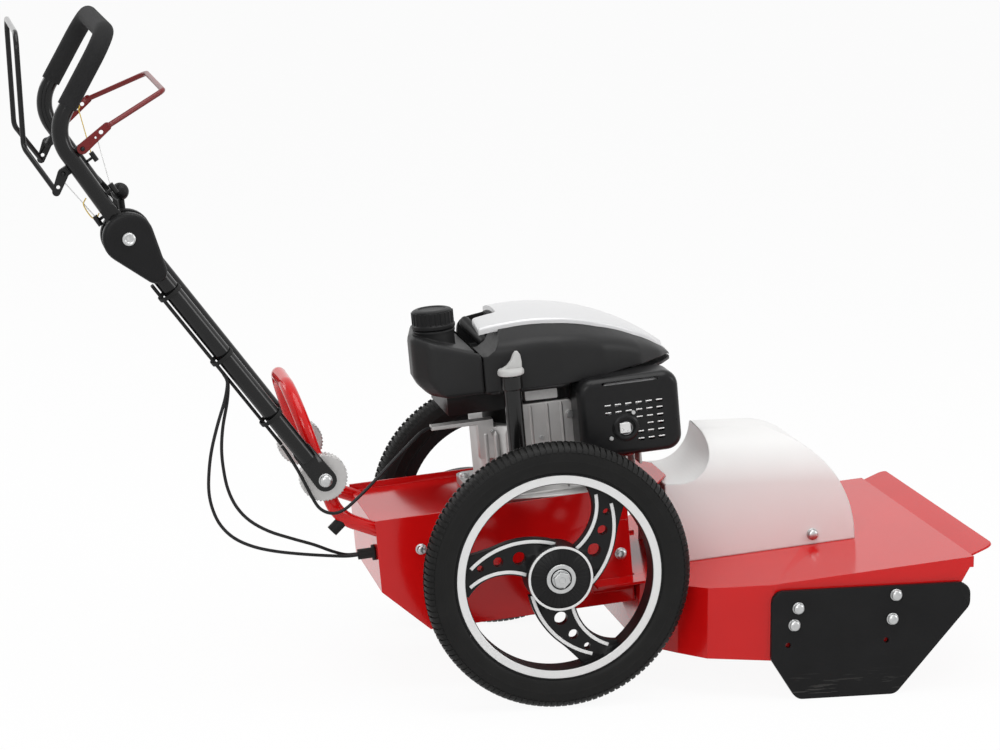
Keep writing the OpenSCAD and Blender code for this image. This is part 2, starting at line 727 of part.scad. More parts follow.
// Cutter spindle in its housing on the deck
housing_d = 62;
housing_flange_d = 124;
housing_flange_t = 8;
housing_up = 76;
housing_down = 40;
housing_bolt_d = 8;
housing_bolt_r = 50;
spindle_bearing_d = 52;
spindle_bearing_t = 12;
spindle_top = 68;
spindle_bore = 4;
module housing_bolt_places() for (a = [0 : 90 : 270])
    translate([cutter_x, 0, -deck_drop]) rotate(45 + a) translate([housing_bolt_r, 0, 0]) children();
module housing_bolts(d) tilt() housing_bolt_places()
    translate([0, 0, -2 * sheet]) cylinder(h = 2 * sheet + 2 * housing_flange_t, d = d);
module spindle_housing() color(alloy) difference() {
    tilt() translate([cutter_x, 0, -deck_drop]) difference() {
        union() {
            cylinder(h = housing_flange_t, d = housing_flange_d);
            translate([0, 0, -housing_down]) cylinder(h = housing_down + housing_up, d = housing_d);
        }
        translate([0, 0, -housing_down - over])
            cylinder(h = housing_down + housing_up + 2 * over, d = spindle_d + 2 * spindle_bore);
        for (z = [-housing_down - over, housing_up - spindle_bearing_t])
            translate([0, 0, z]) cylinder(h = spindle_bearing_t + over, d = spindle_bearing_d + 2 * fit);
    }
    housing_bolts(housing_bolt_d + 2 * gap);
}
module ring(d1, d2, t) difference() {
    cylinder(h = t, d = d1);
    translate([0, 0, -over]) cylinder(h = t + 2 * over, d = d2);
}
module bearings() color(steel) tilt() {
    both() translate([0, -box_half, 0]) rotate([-90, 0, 0]) ring(bearing_d, axle_d + 2 * fit, bearing_t);
    for (z = [-housing_down, housing_up - spindle_bearing_t])
        translate([cutter_x, 0, z - deck_drop])
            ring(spindle_bearing_d, spindle_d + 2 * fit, spindle_bearing_t);
}
module spindle() color(steel) tilt() translate([cutter_x, 0, -cutter_drop])
    cylinder(h = cutter_drop + spindle_top, d = spindle_d);
module spindle_pulley() color(steel) tilt() translate([cutter_x, 0, belt_z]) difference() {
    pulley(spindle_pulley_d);
    translate([0, 0, -belt_w]) cylinder(h = 2 * belt_w, d = spindle_d + 2 * fit);
}
// Line carrier: a disc on a hub below the deck, four nylon lines and a glide cup
line_count = 4;
line_in = 60;
hub_ring_d = 60;
hub_ring_h = 30;
cup_d = 96;
cup_h = 24;
cup_shares = [[0, 1], [0.5, 1], [0.84, 0.6], [1, 0.3], [1, 0], [0, 0]];
eyelet_d = 14;
module cutter_place() tilt() translate([cutter_x, 0, -cutter_drop]) children();
module line_rods(d) for (i = [0 : line_count - 1]) rotate(360 / line_count * (i + 0.5))
    translate([line_in, 0, disc_t / 2]) rotate([0, 90, 0]) cylinder(h = line_reach - line_in, d = d);
module cutter_disc() color(steel) cutter_place() difference() {
    union() {
        cylinder(h = disc_t, d = disc_d);
        cylinder(h = hub_ring_h, d = hub_ring_d);
        for (i = [0 : line_count - 1]) rotate(360 / line_count * (i + 0.5))
            translate([disc_d / 2 - eyelet_d, 0, disc_t / 2]) rotate([0, 90, 0])
                cylinder(h = eyelet_d, d = eyelet_d);
    }
    translate([0, 0, -over]) cylinder(h = hub_ring_h + 2 * over, d = spindle_d + 2 * fit);
    line_rods(line_d + 2 * fit);
}
module cutter_lines() color(amber) cutter_place() line_rods(line_d);
module glide_cup() color(black) cutter_place() rotate_extrude()
    polygon([for (s = cup_shares) [cup_d / 2 * s.x, -cup_h * s.y]]);

// Engine: crankcase on the top plate, with the control arm behind it
case_shift = 25;
case_corner = 60;
flange_t = 12;
flange_out = 18;
case_wall = 14;
case_hollow_d = 140;
pto_d = 50;
pto_h = 6;
arm_len = 75;
arm_h = 6;
arm_w = 20;
control_y = -62;
control_rise = 130;
post_t = 4;
post_in = 20;
post_h = 60;
case_x = crank_x - case_shift;
case_top = plate_z + case_h;
function rect(x0, x1, half) = [[x0, -half], [x1, -half], [x1, half], [x0, half]];
module crankcase() color(alloy) tilt() difference() {
    union() {
        translate([0, 0, plate_z]) linear_extrude(flange_t) polygon(fillet(
            rect(case_x - case_l / 2 - flange_out, case_x + case_l / 2 + flange_out, case_w / 2 + flange_out),
            flange_out));
        translate([0, 0, plate_z]) linear_extrude(case_h)
            polygon(fillet(rect(case_x - case_l / 2, case_x + case_l / 2, case_w / 2), case_corner));
        translate([crank_x, 0, plate_z - pto_h]) cylinder(h = 2 * pto_h, d = pto_d);
        translate([case_x - case_l / 2, control_y - arm_w / 2, plate_z + control_rise]) {
            block([-arm_len, 0, -arm_h], [0, arm_w, 0]);
            block([-post_t, 0, -post_h], [post_in, arm_w, 0]);
        }
        oil_port(-case_w / 2, -case_w / 4, oil_tube_d);
    }
    translate([crank_x, 0, plate_z - 2 * pto_h]) cylinder(h = 2 * case_h, d = crank_d + 2 * fit);
    translate([case_x, 0, plate_z + case_wall]) cylinder(h = case_h - 2 * case_wall, d = case_hollow_d);
    engine_bolt_places() translate([0, 0, -over]) cylinder(h = 2 * flange_t, d = engine_bolt_d + 2 * gap);
}
// Cylinder with cooling fins in front of the crankcase
barrel_d = 78;
fin_t = 4;
fin_pitch = 11;
fins = 7;
fin_half = 56;
fin_low = 26;
fin_high = 106;
case_front = case_x + case_l / 2;
barrel_l = fin_pitch * fins + fin_t;
barrel_z = plate_z + (fin_low + fin_high) / 2;
module cylinder_block() color(alloy) tilt() {
    translate([case_front, 0, barrel_z]) rotate([0, 90, 0]) cylinder(h = barrel_l, d = barrel_d);
    for (i = [1 : fins]) block([case_front + fin_pitch * i, -fin_half, plate_z + fin_low],
        [case_front + fin_pitch * i + fin_t, fin_half, plate_z + fin_high]);
}
// Carburettor and air filter on the far side of the crankcase
carb_from = -10;
carb_l = 44;
carb_out = 42;
carb_low = 40;
carb_h = 44;
filter_l = 60;
filter_out = 58;
filter_low = 24;
filter_h = 86;
filter_corner = 14;
carb_x = case_x + carb_from;
bowl_share = 0.8;
module carburettor() color(alloy) tilt() {
    block([carb_x, case_w / 2, plate_z + carb_low],
        [carb_x + carb_l, case_w / 2 + carb_out, plate_z + carb_low + carb_h]);
    translate([carb_x + carb_l / 2, case_w / 2 + carb_out / 2, plate_z + carb_low - carb_h / 2])
        cylinder(h = carb_h / 2, d = carb_out * bowl_share);
}
// Corners of an upright rectangle, from its low corner
function upright(x, z, w, h) = [[x, z], [x + w, z], [x + w, z + h], [x, z + h]];
module air_filter() color(black) tilt() plate_y(fillet(upright(carb_x + carb_l, plate_z + filter_low,
    filter_l, filter_h), filter_corner), case_w / 2, filter_out);

// Muffler behind its pressed guard on the near side
guard_x = 74;
guard_low = 63;
guard_back = 94;
guard_t = 2;
guard_corner = 22;
muffler_in = 26;
muffler_low = 10;
muffler_t = 40;
muffler_back = 98;
outlet_d = 21;
outlet_at = [70, 44];
inlet_d = 30;
louvre_cols = 6;
louvre_rows = 7;
louvre_pitch = [16.5, 12];
louvre = [11, 6];
louvre_from = [41, 21];
spacer_d = 12;
guard_face = guard_back + guard_d;
guard_z = plate_z + guard_low;
module guard_form(t) plate_y(fillet(upright(guard_x + t, guard_z + t, guard_w - 2 * t, guard_h - 2 * t),
    guard_corner - t), t - guard_face, guard_d);
module outlet(d, y0, y1) pin_y(guard_x + outlet_at.x, guard_z + outlet_at.y, y0, y1, d);
module inlet(d, y0, y1) pin_y(case_front + barrel_l / 2 + fin_pitch, barrel_z, y0, y1, d);
module muffler() color(steel) tilt() difference() {
    union() {
        plate_y(fillet(upright(guard_x + muffler_in, guard_z + muffler_low,
            guard_w - muffler_in - muffler_low, guard_h - 2 * muffler_low), guard_corner),
            -muffler_back - muffler_t, muffler_t);
        outlet(outlet_d, -guard_face - guard_t, -muffler_back - over);
        inlet(inlet_d, -muffler_back - over, -fin_half);
    }
    outlet(outlet_d - 2 * guard_t, -guard_face - 2 * guard_t, -muffler_back - muffler_t / 2);
}
module muffler_guard() color(steel) tilt() {
    difference() {
        guard_form(0);
        guard_form(guard_t);
        outlet(outlet_d + 2 * guard_t, -guard_face - over, -guard_back);
        inlet(inlet_d + 2 * guard_t, -muffler_back - guard_t, 0);
        for (i = [0 : louvre_cols - 1], k = [0 : louvre_rows - 1]) {
            at = louvre_from + [louvre_pitch.x * i, louvre_pitch.y * k];
            if (norm(at + louvre / 2 - outlet_at) > outlet_d)
                translate([guard_x + at.x, -guard_face - over, guard_z + at.y])
                    cube([louvre.x, 2 * guard_t, louvre.y]);
        }
    }
    for (x = [muffler_in + spacer_d, guard_w - 2 * spacer_d])
        pin_y(guard_x + x, guard_z + guard_h - 2 * spacer_d, guard_t / 2 - guard_face,
            -muffler_back - muffler_t, spacer_d);
}

// Flywheel in its blower housing, under the cowl
flywheel_d = 168;
flywheel_t = 30;
flywheel_clear = 4;
blower_wall = 4;
blower_rear = 113;
blower_half = 75;
blower_h = 36;
crank_low = 70;
crank_up = 50;
tank_drop = 2;
cowl_low = plate_z + cowl_z;
tank_low = cowl_low - tank_drop;
module blower_housing() color(black) tilt() difference() {
    union() {
        translate([crank_x, 0, case_top])
            cylinder(h = cowl_low - case_top, d = flywheel_d + 2 * flywheel_clear + 2 * blower_wall);
        block([-blower_rear, -blower_half, tank_low - blower_h], [crank_x, blower_half, tank_low]);
        translate([0, 0, cowl_low - blower_wall]) linear_extrude(blower_wall)
            polygon(fillet(cowl_plan(), cowl_corner));
    }
    translate([crank_x, 0, case_top + blower_wall])
        cylinder(h = cowl_low, d = flywheel_d + 2 * flywheel_clear);
    translate([crank_x, 0, case_top - over]) cylinder(h = 2 * blower_wall, d = crank_d + 2 * flywheel_clear);
    guard_room();
}
module crankshaft() color(steel) tilt() translate([crank_x, 0, plate_z - crank_low])
    cylinder(h = crank_low + case_h + crank_up, d = crank_d);
module flywheel() color(steel) tilt() translate([crank_x, 0, case_top + 2 * blower_wall]) difference() {
    cylinder(h = flywheel_t, d = flywheel_d);
    translate([0, 0, -over]) cylinder(h = flywheel_t + 2 * over, d = crank_d + 2 * fit);
}
module crank_pulley() color(steel) tilt() translate([crank_x, 0, 0]) difference() {
    union() {
        translate([0, 0, belt_z]) pulley(crank_pulley_d);
        translate([0, 0, drive_z]) pulley(drive_pulley_d);
        translate([0, 0, drive_z]) cylinder(h = belt_z - drive_z, d = 2 * crank_d);
    }
    translate([0, 0, drive_z - belt_w]) cylinder(h = belt_z - drive_z + 2 * belt_w, d = crank_d + 2 * fit);
}

// Cowl over the flywheel: a streamlined plan under a round crown, with a pocket for the starter grip
cowl_rear = 60;
crown_r = 345;
crown_x = 15;
crown_steps = 16;
side_r = 280;
cowl_corner = 25;
cowl_shares = [[0, 0.93], [0.15, 1], [0.38, 1], [0.6, 0.92], [0.8, 0.7], [0.93, 0.42], [1, 0.15]];
panel_share = 0.66;
panel_in = 4;
panel_corner = 6;
panel_t = 7;
guard_clear = 6;
pocket_l = 42;
pocket_y = [-30, 84];
pocket_drop = 64;
grip_at = [-43, 27];
grip_drop = 36;
grip_half = [9, -39, -13];
grip_bar_d = 20;
rope_d = 4;
rope_l = 75;
rope_slope = 55;
rope_hole_d = 5;
function cowl_plan(share = 1) = let (half = [for (s = cowl_shares)
    [s.x * cowl_l - cowl_rear, s.y * share * cowl_w / 2]])
    [for (p = half) [p.x, -p.y], for (i = [len(half) - 1 : -1 : 0]) half[i]];
// Body under the crown, which is round along X and across it, raised by h
module crown(h) translate([0, 0, cowl_low + cowl_h - side_r]) rotate([0, 90, 0]) rotate_extrude()
    polygon(concat([[0, -cowl_rear - over]],
        [for (k = [0 : crown_steps]) let (x = (cowl_l + 2 * over) * k / crown_steps - cowl_rear - over)
            [side_r + h - crown_r + sqrt(pow(crown_r, 2) - pow(x - crown_x, 2)), x]],
        [[0, cowl_l - cowl_rear + over]]));
module cowl_form(t, h, corner, share = 1) intersection() {
    translate([0, 0, cowl_low - (t > 0 ? over : 0)]) linear_extrude(cowl_h + 2 * panel_t)
        polygon(fillet(inset(cowl_plan(share), t), corner));
    crown(h);
}
module pocket(t) block([-cowl_w, pocket_y[0] - t, cowl_low + cowl_h - pocket_drop - t],
    [pocket_l + t - cowl_rear, pocket_y[1] + t, cowl_low + cowl_h + 2 * panel_t]);
module grip_frame() translate([grip_at.x, grip_at.y, cowl_low + cowl_h - grip_drop]) children();
module rope(d) grip_frame() rotate([0, 90 + rope_slope, 0]) cylinder(h = rope_l, d = d);
module guard_room() block([guard_x - guard_clear, -cowl_w, 0],
    [guard_x + guard_w + guard_clear, -guard_back + guard_clear, guard_z + guard_h + guard_clear]);
module cowl() color(black) tilt() difference() {
    cowl_form(0, 0, cowl_corner);
    difference() {
        cowl_form(shell, -shell, cowl_corner - shell);
        pocket(shell);
    }
    pocket(0);
    guard_room();
    rope(rope_hole_d);
}
module cowl_panel() color(alloy) tilt() difference() {
    cowl_form(panel_in, panel_t, panel_corner, panel_share);
    crown(0);
    pocket(gap);
}
module starter_grip() color(black) tilt() {
    rope(rope_d);
    grip_frame() {
        rod(-grip_half, grip_half, grip_bar_d);
        for (s = [-1, 1]) translate(s * grip_half) sphere(d = grip_bar_d + 2 * fit);
    }
}

// Fuel tank behind the cowl and oil filler beside the crankcase, each with its cap
tank_rear = 163;
tank_side = 120;
tank_corner = 24;
tank_shares = [[0.24, 0], [1, 0], [1, 1], [0.6, 1], [0.23, 0.78], [0, 0.26], [0, 0.12]];
tank_wall = 3;
neck_d = 48;
neck_h = 26;
tank_fall = 19;
tank_sink = [26, 30];
neck_at = [-121, -60];
cap_h = 32;
cap_lift = 14;
cap_ribs = 16;
cap_rib_h = 2;
oil_at = [-25, -150];
oil_low = 36;
oil_top = 211;
oil_cap_d = 36;
oil_cap_t = 10;
oil_fin_t = 8;
oil_fin_h = 24;
dipstick_d = 5;
tank_top = tank_low + tank_h - (neck_at.x + tank_rear) * tan(tank_fall);
function tank_plan() = [for (s = tank_shares) [tank_l * s.x - tank_rear, tank_w * s.y - tank_side]];
// Side view of the tank: its top falls forwards and its lower rear edge is cut off
function tank_side_view() = let (x0 = -tank_rear, x1 = tank_l - tank_rear, z1 = tank_low + tank_h)
    [[x0 + tank_sink.x, tank_low], [x1, tank_low], [x1, z1 - tank_l * tan(tank_fall)], [x0, z1],
    [x0, tank_low + tank_sink.y]];
module tank_form(t) intersection() {
    translate([0, 0, tank_low]) linear_extrude(tank_h) polygon(fillet(inset(tank_plan(), t), tank_corner - t));
    plate_y(inset(tank_side_view(), t), -tank_w, 2 * tank_w);
}
module neck(d, z0, z1) translate([neck_at.x, neck_at.y, z0]) cylinder(h = z1 - z0, d = d);
module fuel_tank() color(black) tilt() difference() {
    union() {
        tank_form(0);
        neck(neck_d, tank_top - neck_d / 2, tank_top + neck_h);
    }
    tank_form(tank_wall);
    neck(neck_d - 2 * tank_wall, tank_top - neck_d / 2, tank_top + neck_h + over);
}
module fuel_cap() color(black) tilt() difference() {
    translate([neck_at.x, neck_at.y, tank_top + cap_lift]) linear_extrude(cap_h)
        polygon([for (k = [0 : 4 * cap_ribs - 1]) let (a = 90 * k / cap_ribs)
            (fuel_cap_d / 2 - (k % 4 > 1 ? cap_rib_h : 0)) * [cos(a), sin(a)]]);
    neck(neck_d + 2 * gap, tank_top + cap_lift - over, tank_top + neck_h + gap);
}
module oil_port(y0, y1, d) pin_y(oil_at.x, plate_z + oil_low + oil_tube_d / 2, y0, y1, d);
module oil_tube() color(black) tilt() difference() {
    union() {
        translate([oil_at.x, oil_at.y, plate_z + oil_low]) cylinder(h = oil_top - oil_low, d = oil_tube_d);
        oil_port(oil_at.y, -case_w / 2, oil_tube_d);
    }
    translate([oil_at.x, oil_at.y, plate_z + oil_low + oil_tube_d / 2])
        cylinder(h = oil_top, d = oil_tube_d - 2 * tank_wall);
}
module oil_cap() color(black) tilt() translate([oil_at.x, oil_at.y, plate_z + oil_top + gap]) {
    cylinder(h = oil_cap_t, d = oil_cap_d);
    block([-oil_cap_d / 2, -oil_fin_t / 2, oil_cap_t - over],
        [oil_cap_d / 2, oil_fin_t / 2, oil_cap_t + oil_fin_h]);
    translate([0, 0, oil_low - oil_top + oil_tube_d])
        cylinder(h = oil_top - oil_low - oil_tube_d + over, d = dipstick_d);
}

// Handle: lower tubes on the hoop, the near side's hinge clamp and the folding upper loop
tube_start = 42;
tube_stop = 28;
eye_l = 55;
eye_r = 17;
eye_tip_r = 15;
fold_eye_t = 9.7;
fold_eye_l = 45;
fold_bolt_d = 10;
fold_head_d = 18;
fold_head_t = 6;
fold_half = handle_w / 2;
fold_at = [-fold_x, -fold_half, fold_z];
lower_from = [-pivot_x, -eye_in - eye_t / 2, pivot_z];
lower_to = [-fold_x, gap + fold_eye_t / 2 - fold_half, fold_z];
lower_dir = unit(lower_to - lower_from);
module fold_bore(d) pin_y(-fold_x, fold_z, -handle_w, 0, d);
module lower_tube() color(black) {
    difference() {
        rod(lower_from + tube_start * lower_dir, lower_to - tube_stop * lower_dir, lower_d);
        rod(lower_from + (tube_start - over) * lower_dir, lower_to - (tube_stop - over) * lower_dir,
            lower_d - 2 * tube_wall);
    }
    difference() {
        link_y(xz(lower_from), xz(lower_from + eye_l * lower_dir), eye_r, eye_tip_r, -eye_out, eye_t);
        pivot_bore();
    }
    difference() {
        link_y(xz(lower_to), xz(lower_to - fold_eye_l * lower_dir), eye_r, (lower_d - tube_wall) / 2,
            gap - fold_half, fold_eye_t);
        fold_bore(fold_bolt_d + 2 * fit);
    }
}
module tube_discs() color(alloy) difference() {
    both() toothed(tooth_disc_d, -eye_in, disc_moving_t - fit);
    pivot_bore();
}
clamp_tail = 62;
clamp_tail_r = 17;
clamp_in_t = 17.5;
clamp_out_t = 15.7;
clamp_boss = 2.5;
lever_hub_d = 28;
lever_hub_t = 12;
lever_l = 60;
lever_lean = 6;
lever_stem_d = 10;
clamp_inner = fold_half - fold_eye_t - gap - clamp_boss;
clamp_outer = fold_half + upper_d / 2 + gap;
clamp_lever_out = clamp_inner - clamp_in_t;
module clamp_half(y0, t)
    link_y(xz(fold_at), xz(fold_at - clamp_tail * lower_dir), clamp_d / 2, clamp_tail_r, y0, t);
module hinge_clamps() color(black) difference() {
    union() {
        clamp_half(-clamp_inner, clamp_in_t);
        pin_y(-fold_x, fold_z, -clamp_inner - clamp_boss, -clamp_inner, 2 * eye_r);
        clamp_half(-clamp_outer - clamp_out_t, clamp_out_t);
        pin_y(-fold_x, fold_z, -clamp_outer, -fold_half - fold_eye_t - gap, 2 * eye_r);
    }
    rod(lower_to - 2 * clamp_tail * lower_dir, lower_to - (tube_stop - gap) * lower_dir, lower_d + 2 * fit);
    fold_bore(fold_bolt_d + 2 * fit);
}
module fold_bolt(head, nut) {
    pin_y(-fold_x, fold_z, -head - fold_head_t, -head, fold_head_d);
    pin_y(-fold_x, fold_z, -head, -nut, fold_bolt_d);
    pin_y(-fold_x, fold_z, -nut, -nut + fold_head_t, fold_head_d);
}
module hinge_bolts() color(zinc) {
    fold_bolt(clamp_outer + clamp_out_t, clamp_lever_out - lever_hub_t - 2 * gap);
    on_left() fold_bolt(fold_half + fold_eye_t, fold_half - fold_eye_t - gap);
}
lever_y = gap + lever_hub_t / 2 - clamp_lever_out;
lever_dir = [-sin(lever_lean), 0, cos(lever_lean)];
lever_at = [-fold_x, lever_y, fold_z];
module clamp_lever() color(black) difference() {
    union() {
        pin_y(-fold_x, fold_z, lever_y - lever_hub_t / 2, lever_y + lever_hub_t / 2, lever_hub_d);
        rod(lever_at, lever_at + lever_l * lever_dir, lever_stem_d);
        translate(lever_at + lever_l * lever_dir) sphere(d = knob_d);
    }
    fold_bore(fold_bolt_d + 2 * fit);
}
// Cable sheaths under the near lower tube, held by three ties
sheath_off = 17.5;
sheath_step = 6;
sheath_lanes = [-1, 0, 1];
sheath_start_shares = [0.475, 0.475, 0.175];
sheath_end_share = 0.83;
tie_shares = [0.27, 0.52, 0.78];
tie_d = 37.6;
tie_w = 6;
tie_in = 35.2;
tie_off = 4;
sheath_side = unit([-lower_dir.z, 0, lower_dir.x]);
function sheath_at(share, lane) = lower_from + (lower_to - lower_from) * share + sheath_off * sheath_side
    + [0, sheath_step * lane, 0];
module handle_sheaths() color(black) {
    for (i = [0 : len(sheath_lanes) - 1]) rod(sheath_at(sheath_start_shares[i], sheath_lanes[i]),
        sheath_at(sheath_end_share, sheath_lanes[i]), cable_d);
    for (s = tie_shares) {
        c = lower_from + (lower_to - lower_from) * s + tie_off * sheath_side;
        difference() {
            rod(c - tie_w / 2 * lower_dir, c + tie_w / 2 * lower_dir, tie_d);
            rod(c - tie_w * lower_dir, c + tie_w * lower_dir, tie_in);
        }
    }
}

// Upper loop with its foam grip, bail lugs and cable stops
upper_l = 181;
upper_lean = 34.3;
bend_r = 60;
bar_r = 45;
upper_start = 27;
grip_from = 43;
lug_off = 21.5;
lug_r = 7;
lug_t = 7.7;
lug_pin_d = 6;
lug_inset = 10;
drive_lug = 126;
engine_lug = 139;
stop_d = 8;
stop_l = 16;
stop_web = 4;
engine_stop = [67, 24];
drive_stop = [42, -21];
upper_dir = [-sin(upper_lean), 0, cos(upper_lean)];
bend_at = fold_at + upper_l * upper_dir;
bar_at = [-bar_x, -fold_half, bar_z];
lug_in = fold_half - lug_inset;
grip_dir = unit(bar_at - bend_at);
function upper_at(t, off) = fold_at + t * upper_dir + off * [upper_dir.z, 0, -upper_dir.x];
module upper_bar(d, s) bent([fold_at + s * upper_dir, bend_at, bar_at, mirrored(bar_at), mirrored(bend_at),
    mirrored(fold_at + s * upper_dir)], [0, bend_r, bar_r, bar_r, bend_r, 0], d);
module grip_bar(d, s) bent([bend_at + s * grip_dir, bar_at, mirrored(bar_at),
    mirrored(bend_at + s * grip_dir)], [0, bar_r, bar_r, 0], d);
module lug(t, off) {
    link_y(xz(upper_at(t, 0)), xz(upper_at(t, off)), lug_r, lug_r, -lug_in - lug_t, lug_t);
    pin_y(upper_at(t, off).x, upper_at(t, off).z, -lug_in - 2 * lug_r, -lug_in - over, lug_pin_d);
}
module cable_stop(s) {
    link_y(xz(upper_at(s.x, 0)), xz(upper_at(s.x, s.y)), stop_web / 2, stop_web / 2,
        wire_y - stop_web / 2, stop_web);
    rod(at_y(upper_at(s.x - stop_l / 2, s.y), wire_y), at_y(upper_at(s.x + stop_l / 2, s.y), wire_y), stop_d);
}
wire_y = -lug_in - lug_r + over / 2;
module upper_tube() color(black) {
    difference() {
        upper_bar(upper_d, upper_start);
        upper_bar(upper_d - 2 * tube_wall, upper_start - over);
    }
    both() {
        difference() {
            link_y(xz(fold_at), xz(upper_at(fold_eye_l, 0)), eye_r, (upper_d - tube_wall) / 2,
                -fold_half - fold_eye_t, fold_eye_t);
            fold_bore(fold_bolt_d + 2 * fit);
        }
        lug(drive_lug, -lug_off);
        lug(engine_lug, lug_off);
        cable_stop(engine_stop);
    }
    cable_stop(drive_stop);
}
module foam_grip() color(black) difference() {
    grip_bar(grip_d, grip_from);
    grip_bar(upper_d + 2 * fit, grip_from - over);
}
// Bails: bent rods on flat ears, with the wires that they pull
ear_r = 8;
ear_tip_r = 6;
ear_t = 4;
drive_pivot = xz(upper_at(drive_lug, -lug_off));
engine_pivot = xz(upper_at(engine_lug, lug_off));
drive_ear = drive_pivot + [-10.2, -26];
drive_knee = drive_pivot + [-52.2, 33];
drive_hook = drive_pivot + [0, -11];
drive_in = 50;
drive_low = 2;
drive_bends = [20, 25];
engine_ear = engine_pivot + [35.6, 31];
engine_knee = engine_pivot + [121.6, 75];
engine_hook = engine_pivot + [20.6, 17];
engine_in = 60;
engine_bend = 20;
ear_y = lug_in + lug_t + gap;
module ear(pivot, tip) difference() {
    link_y(pivot, tip, ear_r, ear_tip_r, -ear_y - ear_t, ear_t);
    pin_y(pivot.x, pivot.y, -handle_w, 0, lug_pin_d + 2 * fit);
}
module drive_bail() color(black) {
    both() ear(drive_pivot, drive_ear);
    a = [drive_ear.x, -ear_y - ear_t / 2, drive_ear.y];
    b = [drive_knee.x, drive_in - fold_half, drive_knee.y];
    c = [-bail_back, drive_in - fold_half, bar_z - drive_low];
    bent([a, b, c, mirrored(c), mirrored(b), mirrored(a)],
        [0, drive_bends[0], drive_bends[1], drive_bends[1], drive_bends[0], 0], bail_d);
}
module engine_bail() color(red) {
    both() ear(engine_pivot, engine_ear);
    a = [engine_ear.x, -ear_y - ear_t / 2, engine_ear.y];
    b = [engine_knee.x, engine_in - fold_half, engine_knee.y];
    bent([a, b, mirrored(b), mirrored(a)], [0, engine_bend, engine_bend, 0], bail_d);
}
module wire(hook, stop)
    rod([hook.x, wire_y, hook.y], at_y(upper_at(stop.x + stop_l / 2, stop.y), wire_y), wire_d);
module bail_wires() color(steel) {
    both() wire(engine_hook, engine_stop);
    wire(drive_hook, drive_stop);
}

// Routes of the free cables, from the sheaths to the gland and to the control arm
cutter_route = [[-485, -177, 510], [-481, -176, 503], [-480, -175, 493], [-484, -172, 470],
    [-494, -167, 435], [-503, -160, 395], [-507, -155, 360], [-507, -150, 328], [-501, -146, 300],
    [-489, -141, 275], [-469, -136, 254], [-440, -129, 238], [-404, -122, 227], [-362, -115, 219],
    [-322, -108, 213], [-296, -104, 210], [-278, -104, 211]];
drive_route = [[-485, -171, 510], [-480, -170, 502], [-478, -169, 490], [-480, -166, 465],
    [-486, -162, 430], [-488, -157, 395], [-485, -152, 362], [-478, -146, 330], [-465, -140, 302],
    [-445, -134, 279], [-416, -127, 260], [-380, -119, 245], [-346, -111, 232], [-318, -104, 219],
    [-296, -97, 211], [-278, -96, 211]];
engine_route = [[-398, -152, 395], [-393, -152, 388], [-385, -152, 375], [-373, -152, 354],
    [-361, -152, 330], [-352, -151, 312], [-343, -150, 298], [-331, -149, 290], [-317, -147, 288],
    [-302, -143, 293], [-284, -134, 305], [-262, -121, 321], [-234, -103, 343], [-205, -86, 366],
    [-181, -71, 384], [-169, -65, 391], [-159, -62, 394]];
route_steps = 2;
module cable(route) color(black) cord(smooth(route, route_steps), cable_d);

placed() chassis_box();
placed() deck();
placed() on_left() skid();  // skid_left
placed() skid();  // skid_right
placed() body_bolts();
placed() belt_hood();
placed() hoop();
placed() hoop_discs();
placed() hoop_bumpers();
placed() cable_gland();
placed() gearbox();
placed() bearings();
placed() spindle_housing();
placed() belts();
placed() on_left() tyre();  // tyre_left
placed() tyre();  // tyre_right
placed() on_left() wheel();  // wheel_left
placed() wheel();  // wheel_right
placed() axle();
placed() hub_bolts();
placed() crankcase();
placed() cylinder_block();
placed() carburettor();
placed() air_filter();
placed() muffler();
placed() muffler_guard();
placed() blower_housing();
placed() cowl();
placed() cowl_panel();
placed() fuel_tank();
placed() oil_tube();
placed() fuel_cap();
placed() oil_cap();
placed() starter_grip();
placed() crankshaft();
placed() flywheel();
placed() crank_pulley();
placed() input_pulley();
placed() spindle();
placed() spindle_pulley();
placed() cutter_disc();
placed() cutter_lines();
placed() glide_cup();
placed() idler();
placed() on_left() lower_tube();  // lower_tube_left
placed() lower_tube();  // lower_tube_right
placed() tube_discs();
placed() hinge_clamps();
placed() hinge_bolts();
placed() handle_sheaths();
placed() clamp_lever();
placed() upper_tube();
placed() foam_grip();
placed() drive_bail();
placed() engine_bail();
placed() bail_wires();
placed() cable(cutter_route);  // cable_cutter
placed() cable(drive_route);  // cable_drive
placed() cable(engine_route);  // cable_engine
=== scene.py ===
import json
from math import acos, atan2, cos, hypot, pi, radians, sin, sqrt, tan

import bmesh
import bpy
from mathutils import Matrix, Vector

